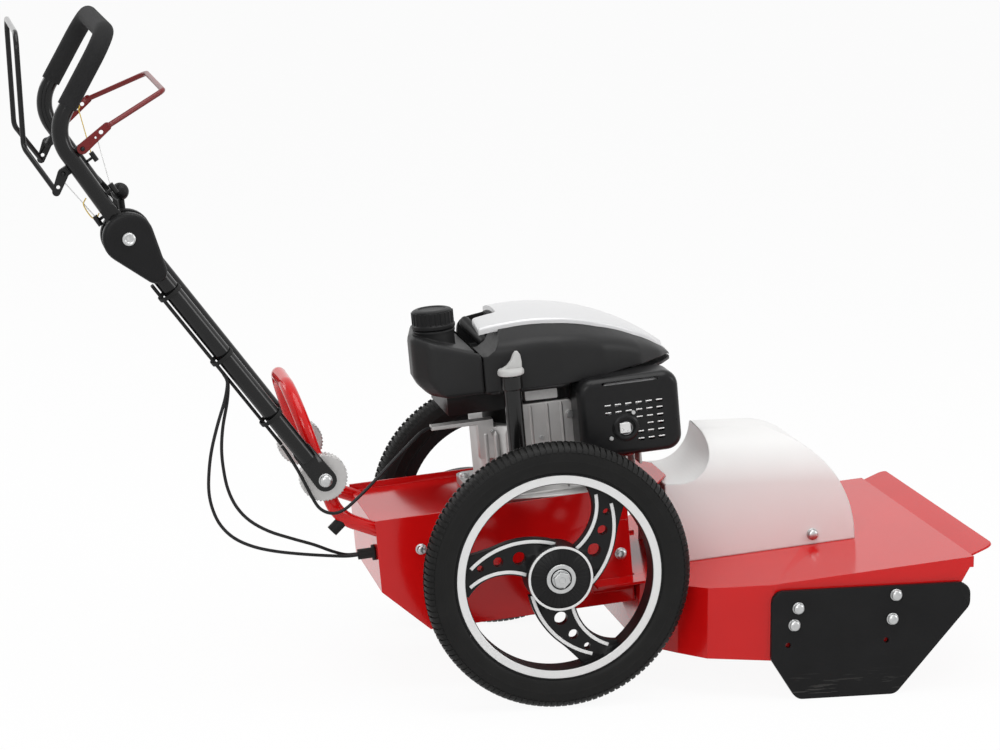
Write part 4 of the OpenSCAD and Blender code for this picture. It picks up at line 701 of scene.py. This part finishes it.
borders = joined(*(border(row, edge, flare) for row, edge, flare in zip(STRIPS, (1, -1), FLARES)))
for side, name, hub in WHEELS:
    rib = skin([[(x, side * (HUB_FACE + h), r) for x, h in (
        (-0.0007, -0.001), (0.0, 0.0006), (0.0007, -0.001))] for r in (0.0235, 0.0445)])
    face = merged("wheel_" + name)
    for unit, count in ((rib, 40), (borders, 3)):
        face = ring.grown(face, unit, Count=count, Centre=hub, Axis=ACROSS, Finish=moulded_black)
    remade("wheel_" + name, face, moulded_black)
    trim = joined(band(0.143, 0.155, RIM_FACE, side), band(0.0455, 0.049, HUB_FACE, side))
    trim.transform(Matrix.Translation(hub))
    strips = joined(*(strip(row, side) for row in STRIPS))
    trim = ring.grown(trim, strips, Count=3, Centre=hub, Axis=ACROSS, Finish=wheel_silver)
    piece("wheel_" + name + "_trim", faired(trim), wheel_silver, "wheel_" + name, "silver_plastic")

# Hub bolts: a zinc hexagon screw with a broad washer holds each wheel on its axle end.
# The heads are made as six-sided prisms with a turned chamfer on top.
HUB_BOLT = (
    ([(0.005, -0.04), (0.005, -0.011)], 20, False),
    ([(0.0158, -0.012), (0.0222, -0.012), (0.0222, -0.0086), (0.0216, -0.008), (0.0164, -0.008),
      (0.0158, -0.0086)], 40, True),
    ([(0.005, -0.012), (0.0142, -0.012), (0.0142, -0.0085), (0.0136, -0.0078), (0.012, -0.0078)], 40, False),
    ([(0.0132, -0.0085), (0.0132, -0.0012), (0.0116, 0.0), (0.0055, 0.0), (0.0048, -0.001),
      (0.0, -0.001)], 6, False))
low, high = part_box("hub_bolts")
parts = [turned(profile, (AXLE.x, end, AXLE.z), (0, side, 0), steps, loop)
         for side, end in ((-1, low[1]), (1, high[1])) for profile, steps, loop in HUB_BOLT]
remade("hub_bolts", joined(*parts), zinc_plate, 25.0)

# Engine block: a cast crankcase with vertical ribs and a finned cylinder in front of it.
# The crankshaft and the flywheel stand in it; the case is bolted down on the top plate.
SLOPE = radians(5.2)
TILT = Matrix.Translation(AXLE) @ Matrix.Rotation(-SLOPE, 4, "Y")


def engine_place(x, y, z):
    """Place in millimetres in the sloping chassis, in metres from the part's origin."""
    return TILT @ (Vector((x, y, z)) / 1000)


def rounded(points, radii, steps=6):
    """Outline with every corner rounded, to one radius or to one for each corner."""
    made = []
    for i, point in enumerate(points):
        b = Vector(point)
        radius = radii[i] if isinstance(radii, list) else radii
        u, v = ((Vector(points[k % len(points)]) - b).normalized() for k in (i - 1, i + 1))
        half = u.angle(v) / 2
        centre = b + (u + v).normalized() * radius / sin(half)
        start, stop = (b + w * radius / tan(half) - centre for w in (u, v))
        a = atan2(start.y, start.x)
        turn = (atan2(stop.y, stop.x) - a + 3 * pi) % (2 * pi) - pi
        made += [centre + radius * Vector((cos(a + turn * k / steps), sin(a + turn * k / steps)))
                 for k in range(steps + 1)]
    return made


def inset(outline, depth):
    """Outline moved inwards, for one that runs anticlockwise."""
    made = []
    for i, point in enumerate(outline):
        a, b = (point - outline[i - 1]), (outline[(i + 1) % len(outline)] - point)
        m, n = (Vector((-w.y, w.x)).normalized() for w in (a, b))
        made.append(point + (m + n) * depth / (1 + m.dot(n)))
    return made


def levels(outline, rows, place, ends=(True, True)):
    """Mesh through an outline at several heights, given as height and inset."""
    return skin([[place(*point, height) for point in inset(outline, depth)] for height, depth in rows],
                ends=ends)


def guard_place(x, z, y):
    return engine_place(x, y, z)


def rib_up(x, y, heights, thin, full):
    """Round rib up the engine's side, thin at both its ends."""
    return tube([engine_place(x, y, z) for z in heights], [thin, full, full, thin], 10)


CASE = rounded([(-65, -88), (105, -88), (105, 88), (-65, 88)], 60, 10)
PAD = rounded([(-8, 150), (76, 150), (76, 231), (-8, 231)], 9, 5)
PAD_FACE = -95
RIB_SUNK, RIB_NEAR = 1.5, 12
parts = [merged("crankcase"), levels(PAD, [(-78, 0), (-92.5, 0), (-94.4, 0.7), (-95.2, 2.4)], guard_place)]
for x in (-58, -44, -26, 62, 84):
    y = min(p.y for p in CASE if abs(p.x - x) < RIB_NEAR)
    parts.append(rib_up(x, y + RIB_SUNK, (92, 100, 186, 193), 0.001, 0.004))
parts += [rib_up(x, PAD_FACE, (156, 160, 224, 228), 0.0008, 0.0022) for x in (10, 36, 58)]
remade("crankcase", joined(*parts), cast_alloy)
for node in ("cylinder_block", "carburettor"):
    dressed(node, cast_alloy)
cast_iron = substance("cast_iron", (0.10, 0.10, 0.105), (0.19, 0.185, 0.18), (0.002, 4.0),
                      (0.2, 0.5), (0.0002, 0.001), metal=0.7)
dressed("flywheel", cast_iron)
dressed("crankshaft", turned_steel)

# Engine screws: small zinc hexagon heads on the crankcase and on the guard's face.
# One holds the control bracket, one the case's rear corner, and two the guard.
hexagon = turned([(1.0, 0.0), (1.0, 0.55), (0.86, 0.7), (0.0, 0.7)], steps=6)
out = TILT.to_3x3() @ Vector((0, -1, 0))
screws = facing.grown(spots([(engine_place(*spot), out, size) for spot, size in (
    ((70, PAD_FACE, 207), 0.0068), ((-46, -70, 188), 0.0056), ((120, -150.5, 173), 0.0036),
    ((157, -150.5, 209), 0.0036), ((24, PAD_FACE, 176), 0.004))]), hexagon, Finish=zinc_plate)
piece("engine_screws", faired(screws, 25.0), zinc_plate, "chassis", "zinc")

# Muffler and its guard: a pressed steel box with louvres in front of the muffler's body.
# The silver outlet comes out through a raised ring; the whole guard is in satin black, and bright steel lips
# along its louvres are painted highlights.
guard_black = substance("guard_black", (0.006, 0.006, 0.0065), (0.011, 0.011, 0.0115), (0.012,),
                        (0.15, 0.24), (0.00008, 0.001, 0.0014), gloss=0.2)
GUARD = rounded([(74, 142), (232, 142), (232, 266), (74, 266)], 24, 8)
GUARD_LEVELS = [(-94, 0), (-136, 0), (-141, 0.9), (-145.5, 3.2), (-148.6, 7), (-150, 12)]
GUARD_FACE = GUARD_LEVELS[-1][0]
LOUVRE_FROM, LOUVRE_STEP, LOUVRE_ROWS = (118.5, 166), (16.0, 11.3), 6
OUTLET, OUTLET_CLEAR = (144, 187), 24
LONG_SLIT = rounded([(112, 254.5), (200, 254.5), (200, 259), (112, 259)], 2, 3)


def cut(mesh, cutter):
    """Mesh less another."""
    tool = placed("cutter", cutter)
    made = shaped(mesh, ("BOOLEAN", {"operation": "DIFFERENCE", "solver": "MANIFOLD", "object": tool}))
    bpy.data.objects.remove(tool)
    return made


shell = levels(GUARD, GUARD_LEVELS, guard_place, (False, True))
shell = shaped(shell, ("SOLIDIFY", {"thickness": 0.002, "offset": -1.0}))
slit = rounded([(-4.9, -2.5), (4.9, -2.5), (4.9, 2.5), (-4.9, 2.5)], 1.8, 3)
turn = Matrix.Rotation(SLOPE, 2)
slit = skin([[((turn @ p).x / 1000, (turn @ p).y / 1000, h) for p in slit] for h in (-0.012, 0.012)])
spots_of_slots = []
for row in range(LOUVRE_ROWS):
    for col in range(LOUVRE_ROWS):
        x, z = (a + b * k for a, b, k in zip(LOUVRE_FROM, LOUVRE_STEP, (col, row)))
        if hypot(x - OUTLET[0], z - OUTLET[1]) > OUTLET_CLEAR and (col > 1 or row > 3):
            spots_of_slots.append((engine_place(x, GUARD_FACE, z), out, 1.0))
slots = facing.grown(spots(spots_of_slots), slit, Finish=guard_black)
shell = cut(cut(shell, slots), levels(LONG_SLIT, [(-136, 0), (-160, 0)], guard_place))
eye = turned([(13.5, 0), (21, 0), (20.4, 2.4), (17.5, 4.2), (14.6, 4.2), (13.5, 3.2)], steps=40, loop=True)
eye.transform(TILT @ Matrix.Translation(Vector((OUTLET[0], -149.5, OUTLET[1])) / 1000)
              @ Matrix.Rotation(pi / 2, 4, "X") @ Matrix.Scale(0.001, 4))
remade("muffler_guard", joined(shell, eye), guard_black, 30.0)
dressed("muffler", turned_steel)
SPOUT = rounded([(134, 179), (149, 179), (151, 181), (151, 193), (149, 195), (134, 195)], 1.2, 3)
bright_steel = substance("bright_steel", (0.66, 0.66, 0.66), (0.82, 0.82, 0.81), (0.004,),
                         (0.2, 0.2), (0.00004, 0.0006), metal=0.6)
# Bright steel lips on the upper edge of each louvre: painted highlights that stand in for the light catching
# the edges of the black louvres.
highlight_lip = skin([[(x, 0.0014 + 0.0011 * cos(t), -0.0003 + 0.0011 * sin(t)) for t in (0, 1.2, 2.4, 3.6, 4.8)]
            for x in (-0.0047, 0.0047)])
highlight_lip.transform(turn.to_4x4())
highlight_lips = facing.grown(spots(spots_of_slots), highlight_lip, Finish=bright_steel)
piece("guard_lips", faired(highlight_lips, 50.0), bright_steel, "chassis", "steel")
spout = levels(SPOUT, [(-140, 0), (-152.4, 0), (-153, 0.6)], guard_place)
piece("muffler_outlet", faired(spout), bright_steel, "chassis", "steel")

# Blower housing: a moulded black shell round the flywheel that the cowl and tank sit on.
# The air filter box hangs on its far side, and a bare white plate on its near side.
look = Finish("shell_black")
pebble = look.cells(0.0009)
shell_black = look.surface(**{
    "Base Color": look.between(look.grain(0.05), (0.011, 0.011, 0.0113), (0.017, 0.017, 0.0174)),
    "Roughness": look.grain(0.01, 3.0) * 0.12 + 0.36, "Specular IOR Level": 0.22,
    "Normal": look.bump(pebble, 0.00004, 0.003)})
for node in ("blower_housing", "air_filter"):
    dressed(node, shell_black)
PLATE = rounded([(4, 235.5), (54, 234.5), (54, 249.5), (4, 250.5)], 2, 4)
carrier = levels(inset(PLATE, -2.5), [(-80, 0), (-93.2, 0), (-94, 0.8)], guard_place)
piece("plate_carrier", faired(carrier), shell_black, "chassis", "engine_plastic")
plate_white = substance("plate_white", (0.62, 0.62, 0.61), (0.76, 0.76, 0.75), (0.003,),
                        (0.2, 0.3), (0.00003, 0.0))
piece("plate_bare", faired(levels(PLATE, [(-93.5, 0), (-94.4, 0), (-94.8, 0.4)], guard_place)), plate_white,
      "chassis", "grey_plastic")

# Cowl: a streamlined moulded shell over the flywheel, with a round crown and a soft shoulder.
# A silver panel is set on its crown, and a pocket at the rear takes the starter's grip.
COWL = [(0, 0.93), (0.15, 1), (0.38, 1), (0.6, 0.92), (0.8, 0.7), (0.93, 0.42), (1, 0.15)]
COWL_L, COWL_REAR, COWL_HALF, COWL_LOW = 312, 60, 128, 261
SHOULDER = [(0, 15), (0.7, 9), (2.4, 5), (5.5, 2.1), (10, 0.5), (16, 0)]
PANEL_EDGE = [(0, -3), (0, 4), (0.8, 5.8), (2.6, 6.8), (5, 7)]
CROWN_X, CROWN_Z, CROWN_R, CROWN_LESS = 15, 82, 345, 65
BRIM_RISE, BRIM_FROM, BRIM_LENGTH, BRIM_UNDER = 8, 66, 130, 4
FULL_SIDE, SPINE, RING_SHARES = 24, 0.93, (0.85, 0.68, 0.5, 0.33, 0.16, 0.0)


def crown(x, y):
    """Height of the cowl's crown over the sloping chassis, in millimetres."""
    return CROWN_Z + sqrt((sqrt(CROWN_R ** 2 - (x - CROWN_X) ** 2) - CROWN_LESS) ** 2 - y * y)


def cowl_plan(share, corner):
    """Outline of the cowl at a share of its width, from the middle of its rear."""
    half = [(s * COWL_L - COWL_REAR, w * share * COWL_HALF) for s, w in COWL]
    corners = [(x, -y) for x, y in half] + [(x, y) for x, y in half[::-1]]
    radii = [min(corner, 5)] + [corner] * (len(corners) - 1)
    return [Vector((-COWL_REAR, 0.0))] + rounded(corners, radii, 8)


def even(outline, count):
    """The outline again, with points at even distances from its first."""
    ends = outline + outline[:1]
    reach = [0.0]
    for a, b in zip(ends, ends[1:]):
        reach.append(reach[-1] + (b - a).length)
    made, i = [], 0
    for k in range(count):
        goal = reach[-1] * k / count
        while reach[i + 1] < goal:
            i += 1
        made.append(ends[i].lerp(ends[i + 1], (goal - reach[i]) / max(reach[i + 1] - reach[i], 1e-9)))
    return made


def ease(value):
    value = min(max(value, 0.0), 1.0)
    return value * value * (3 - 2 * value)


def brim(x, y):
    """Height of the cowl's lower edge, which rises a little towards the nose."""
    return min(COWL_LOW + BRIM_RISE * ease((x - BRIM_FROM) / BRIM_LENGTH), crown(x, y) - BRIM_UNDER)


def domed(outline, rows):
    """Rings up an edge, given as inset and height over the crown, and on over the crown to its spine."""
    rings = []
    for depth, rise in rows:
        rings.append([engine_place(*p, crown(*p) + rise * min(1.0, (crown(*q) - brim(*q)) / FULL_SIDE))
                      for p, q in zip(inset(outline, depth), outline)])
    flat = inset(outline, rows[-1][0])
    mid = sum(p.x for p in flat) / len(flat)
    for share in RING_SHARES:
        row = [(mid + (p.x - mid) * (SPINE + (1 - SPINE) * share), p.y * share) for p in flat]
        rings.append([engine_place(x, y, crown(x, y) + rows[-1][1]) for x, y in row])
    return rings


plan = even(cowl_plan(1.0, 25), 200)
foot = [[engine_place(*p, brim(*p)) for p in plan]]
cowl = skin(foot + domed(plan, [(depth, -drop) for depth, drop in SHOULDER]))
POCKET = rounded([(-90, -31), (-18, -31), (-18, 87), (-90, 87)], 7, 5)
NOTCH = rounded([(-90, 316), (-52, 316), (-40, 324), (-24, 350), (-24, 420), (-90, 420)], 4, 5)
pocket = levels(POCKET, [(298, 0), (420, 0)], engine_place)
notch = levels(NOTCH, [(-160, 0), (-20, 0)], guard_place)
remade("cowl", cut(cut(cowl, pocket), notch), shell_black, 35.0)
silver_panel = substance("silver_panel", (0.62, 0.62, 0.625), (0.70, 0.70, 0.705), (0.0006, 2.0),
                         (0.1, 0.24), (0.00001, 0.0), metal=0.2)
panel = skin(domed(inset(even(cowl_plan(0.66, 8), 180), 4), PANEL_EDGE))
remade("cowl_panel", cut(panel, pocket), silver_panel, 40.0)

# Starter grip: a flattened bar of black plastic in the cowl's pocket, on the starter's rope.
# The rope runs down through the cowl to the flywheel's housing.
GRIP_THICK, GRIP_BROAD, ROPE_D = 0.0085, 0.0105, 0.004
GRIP = [(0, 0.25), (0.012, 0.6), (0.04, 0.88), (0.09, 1.0), (0.35, 0.93), (0.65, 0.93), (0.91, 1.0),
        (0.96, 0.88), (0.988, 0.6), (1, 0.25)]
GRIP_ENDS = (-53, 68, 340), (-33.5, -14, 312.5)
ROPE_X, ROPE_Y, ROPE_Z, ROPE_ON, ROPE_DOWN = -43, 27, 326, 0.574, 0.819
rope = tube([engine_place(ROPE_X + ROPE_ON * t, ROPE_Y, ROPE_Z - ROPE_DOWN * t) for t in (0, 30, 75)],
            ROPE_D / 2, 10)
ends = [engine_place(*spot) for spot in GRIP_ENDS]
way = (ends[1] - ends[0]).normalized()
thick = way.cross(Vector((0, 0, 1))).normalized()
broad = thick.cross(way)
grip = skin([circle(ends[0].lerp(ends[1], share), size, GRIP_THICK * thick, GRIP_BROAD * broad, 24)
             for share, size in GRIP])
remade("starter_grip", joined(grip, rope), moulded_black, 60.0)

# Fuel tank: a blow-moulded black tank behind the cowl that carries on its sides.
# Its top falls forwards and its lower rear edge is drawn in.
TANK = rounded([(-138.5, -120), (-61, -120), (-61, 110), (-101.8, 110), (-139.5, 59.4), (-163, -60.2),
                (-163, -92.4)], [24, 4, 4, 24, 24, 24, 24], 8)
TANK_LEVELS = [(0.0, 6), (0.012, 3), (0.04, 0.7), (0.09, 0), (0.2, 0), (0.35, 0), (0.6, 0), (0.86, 0),
               (0.92, 0.8), (0.96, 2.6), (0.985, 5.6), (1.0, 10)]
TANK_LOW, TANK_TOP, TANK_REAR, TANK_FALL = 259, 357, -163, 0.344
DRAWN, DRAWN_FROM, DRAWN_LENGTH, DRAWN_UP, DRAWN_CURVE = 26, -95, 68, 32, 1.4
rings = []
for share, depth in TANK_LEVELS:
    row = []
    for p in inset(TANK, depth):
        rise = share * (TANK_TOP - TANK_FALL * (p.x - TANK_REAR) - TANK_LOW)
        drawn = DRAWN * ease((DRAWN_FROM - p.x) / DRAWN_LENGTH) * max(0.0, 1 - rise / DRAWN_UP) ** DRAWN_CURVE
        row.append(engine_place(p.x + drawn, p.y, TANK_LOW + rise))
    rings.append(row)


def engine_turned(profile, x, y, steps):
    """Mesh turned round a line square to the chassis, from (radius, height) pairs in millimetres."""
    mesh = turned(profile, (x, y, 0), steps=steps)
    mesh.transform(TILT @ Matrix.Scale(0.001, 4))
    return mesh


CAP_AT = -121, -60
neck = engine_turned([(21, 330), (31, 330), (31, 352), (32.5, 354), (32.5, 357.5), (30, 359), (21, 359)],
                     *CAP_AT, 48)
remade("fuel_tank", joined(skin(rings), neck), shell_black, 40.0)

# Fuel cap: a screw cap of black plastic with grip ribs round its side and a raised disc on top.
# It is turned, and the ribs are set on in a ring.
up = TILT.to_3x3() @ Vector((0, 0, 1))
cap = engine_turned([(24, 360), (33, 360), (33.4, 362), (33.4, 365), (32, 366.5), (31, 367.5), (31, 384),
                     (29.5, 387), (26, 388.5), (22, 388.8), (20.5, 387.4), (0, 387.4)], *CAP_AT, 64)
CAP_RIB = (0.030, -0.0018), (0.0322, -0.0010), (0.0322, 0.0010), (0.030, 0.0018)
rib = skin([[(x, y, z) for x, y in CAP_RIB] for z in (0.0, 0.0185)])
rib.transform(TILT.to_3x3().to_4x4())
cap = ring.grown(cap, rib, Count=24, Centre=engine_place(*CAP_AT, 366.5), Axis=up,
                 Finish=moulded_black)
remade("fuel_cap", cap, moulded_black)

# Oil filler: a glossy black tube beside the crankcase with a collar, closed by a grey cap.
# The cap has a tall curved fin to turn it by, and carries the dipstick.
gloss_black = substance("gloss_black", (0.005, 0.005, 0.005), (0.008, 0.008, 0.008), (0.03,),
                        (0.08, 0.12), (0.00003, 0.001), gloss=0.35)
FILLER_AT = -25, -150
collar = engine_turned([(12.8, 268), (15.8, 269), (16.5, 271), (16.5, 288.5), (15.5, 289.8), (12.8, 289.8)],
                       *FILLER_AT, 40)
remade("oil_tube", joined(merged("oil_tube"), collar), gloss_black)
cap_grey = substance("cap_grey", (0.46, 0.46, 0.45), (0.56, 0.56, 0.55), (0.02,),
                     (0.2, 0.34, 0.0012), (0.00005, 0.001))
disc = engine_turned([(2.5, 145), (2.5, 290.6), (18, 290.6), (19.6, 291.6), (20, 293.5), (20, 297),
                      (18.5, 299.4), (14, 300.3), (0, 300.6)], *FILLER_AT, 48)
FIN = [(-17, 299), (17, 299), (17.4, 309), (16, 320), (13, 325), (9, 325.5), (5.5, 321), (1.5, 312.5),
       (-5, 305.5), (-12, 301.5)]
FIN_LEVELS = [(-5, 1.4), (-4.2, 0.4), (-3, 0), (3, 0), (4.2, 0.4), (5, 1.4)]
fin = levels([Vector((x + FILLER_AT[0], z)) for x, z in FIN],
             [(y + FILLER_AT[1], depth) for y, depth in FIN_LEVELS], guard_place)
remade("oil_cap", joined(disc, fin), cap_grey, 40.0)

# Lower handle: two black painted steel tubes with flattened ends, bolted to the hoop's discs.
# Cable sheaths run under the right tube, held by plastic ties.
tube_black = paint("tube_black", (0.005, 0.005, 0.0052), (0.009, 0.009, 0.0094), 0.11, 0.27,
                   (0.05, 0.05, 0.05))
for node in ("lower_tube_left", "lower_tube_right"):
    dressed(node, tube_black)
dressed("tube_discs", cast_alloy)
dressed("handle_sheaths", moulded_rubber)

# Hinge clamp: two drop-shaped plastic halves round the right fold hinge, drawn together by a bolt.
# A ball lever on the inside tightens it; the left hinge is a plain zinc bolt.
FOLD, TAIL, FOLD_R, TAIL_R = Vector((-623, 722)), Vector((-585.5, 672.6)), 37, 17
HALVES = ([(-212.3, 1), (-213.5, 0), (-223, 0), (-226, 1.3), (-227.6, 3.4), (-228.2, 6.5), (-228.4, 11)],
          [(-187.5, 1), (-186.3, 0), (-174.5, 0), (-171.4, 1.4), (-170, 4.5)])


def drop(a, b, r1, r2, steps=24):
    """Outline round two circles, anticlockwise."""
    reach = b - a
    half = acos((r1 - r2) / reach.length)
    lean = atan2(reach.y, reach.x)
    arcs = [(b, r2, lean - half + 2 * half * k / steps) for k in range(steps + 1)]
    arcs += [(a, r1, lean + half + 2 * (pi - half) * k / steps) for k in range(steps + 1)]
    return [spot + r * Vector((cos(t), sin(t))) for spot, r, t in arcs]


def handle_place(x, z, y):
    return level_place(x, y, z)


halves = [levels(drop(FOLD, TAIL, FOLD_R, TAIL_R), rows, handle_place) for rows in HALVES]
hinge = level_place(FOLD.x, 0, FOLD.y)
boss = turned([(0.017, 0.2102), (0.017, 0.2126)], hinge, (0, -1, 0), 32)
remade("hinge_clamps", joined(*halves, boss), moulded_black, 40.0)
dish = turned([(0.0, 0.2325), (0.0042, 0.2325), (0.0048, 0.2352), (0.0074, 0.2356), (0.0094, 0.2344),
               (0.0094, 0.228)], hinge, (0, -1, 0), 32)
remade("hinge_bolts", joined(merged("hinge_bolts"), dish), zinc_plate)
dressed("clamp_lever", moulded_black, 50.0)

# Upper handle: one bent tube with lugs for the bails, and a foam grip over its top.
# The foam is a soft closed-cell sleeve that is pushed on round the bends.
dressed("upper_tube", tube_black)
look = Finish("grip_foam")
cell = look.cells(0.0013)
grip_foam = look.surface(**{
    "Base Color": look.between(look.grain(0.03, 4.0), (0.012, 0.012, 0.0125), (0.021, 0.021, 0.0215)),
    "Roughness": cell * 0.1 + 0.78, "Specular IOR Level": 0.2, "Normal": look.bump(cell, 0.00025)})
dressed("foam_grip", grip_foam, 50.0)

# Bails: bent steel rods on flat ears, black for the wheel drive behind and red for the engine in front.
# The ears are pressed flat, and drilled for the wires.
DRILL = 0.3


def drilled(node, holes):
    """Copy of a node's mesh with round holes along Y, from (x, z, radius) rows."""
    bits = [turned([(r / 1000, -DRILL), (r / 1000, DRILL)], level_place(x, 0, z), ACROSS, 20)
            for x, z, r in holes]
    return cut(merged(node), joined(*bits))


bail_red = paint("bail_red", (0.13, 0.0075, 0.0075), (0.18, 0.010, 0.010), 0.24, 0.3, (0.10, 0.03, 0.03))
remade("drive_bail", drilled("drive_bail", [(-719.3, 794.8, 2.8)]), tube_black)
remade("engine_bail", drilled("engine_bail", [(-656.8, 872.2, 3.2), (-664.5, 864.6, 1.8)]), bail_red)

# Bail wires: thin bare wires that each bail pulls, hooked into its ear.
# Two are bright steel and the left one is in a yellow sleeve, like the spring loop by the drive stop.
yellow_sleeve = substance("yellow_sleeve", (0.60, 0.40, 0.05), (0.72, 0.52, 0.10), (0.004,),
                          (0.2, 0.3), (0.00004, 0.0))
WIRE_D, WIRE_Y, EYE_R = 0.0016, 196.5, 0.0022
for name, bail, hook, stop, side, finish in (
        ("wire_engine_right", "engine_bail", (-663, 866), (-645.4, 797.5), -1, bright_steel),
        ("wire_engine_left", "engine_bail", (-663, 866), (-645.4, 797.5), 1, yellow_sleeve),
        ("wire_drive", "drive_bail", (-711.8, 803), (-668.5, 751.5), -1, bright_steel)):
    top, low = (level_place(x, side * WIRE_Y, z) for x, z in (hook, stop))
    run = tube([low.lerp(top, k / 16) for k in range(17)], WIRE_D / 2, 8)
    turns = [2 * pi * k / 16 for k in range(16)]
    eye = tube([top + EYE_R * Vector((sin(t), 0, 1 - cos(t))) for t in turns], WIRE_D / 2, 8)
    wire = piece(name, faired(joined(run, eye), 60.0), finish, None, "steel", "bail_wires")
    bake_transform(wire)
LOOP = [(-680, 778), (-684, 770), (-681, 762), (-676, 754), (-671, 749), (-665, 751), (-662, 756)]
LOOP_Y, LOOP_R = -198, 0.0009
loop = tube(smooth_path([level_place(x, LOOP_Y, z) for x, z in LOOP], 5), LOOP_R, 8)
piece("drive_spring", faired(loop, 60.0), yellow_sleeve, "upper_handle", "steel")
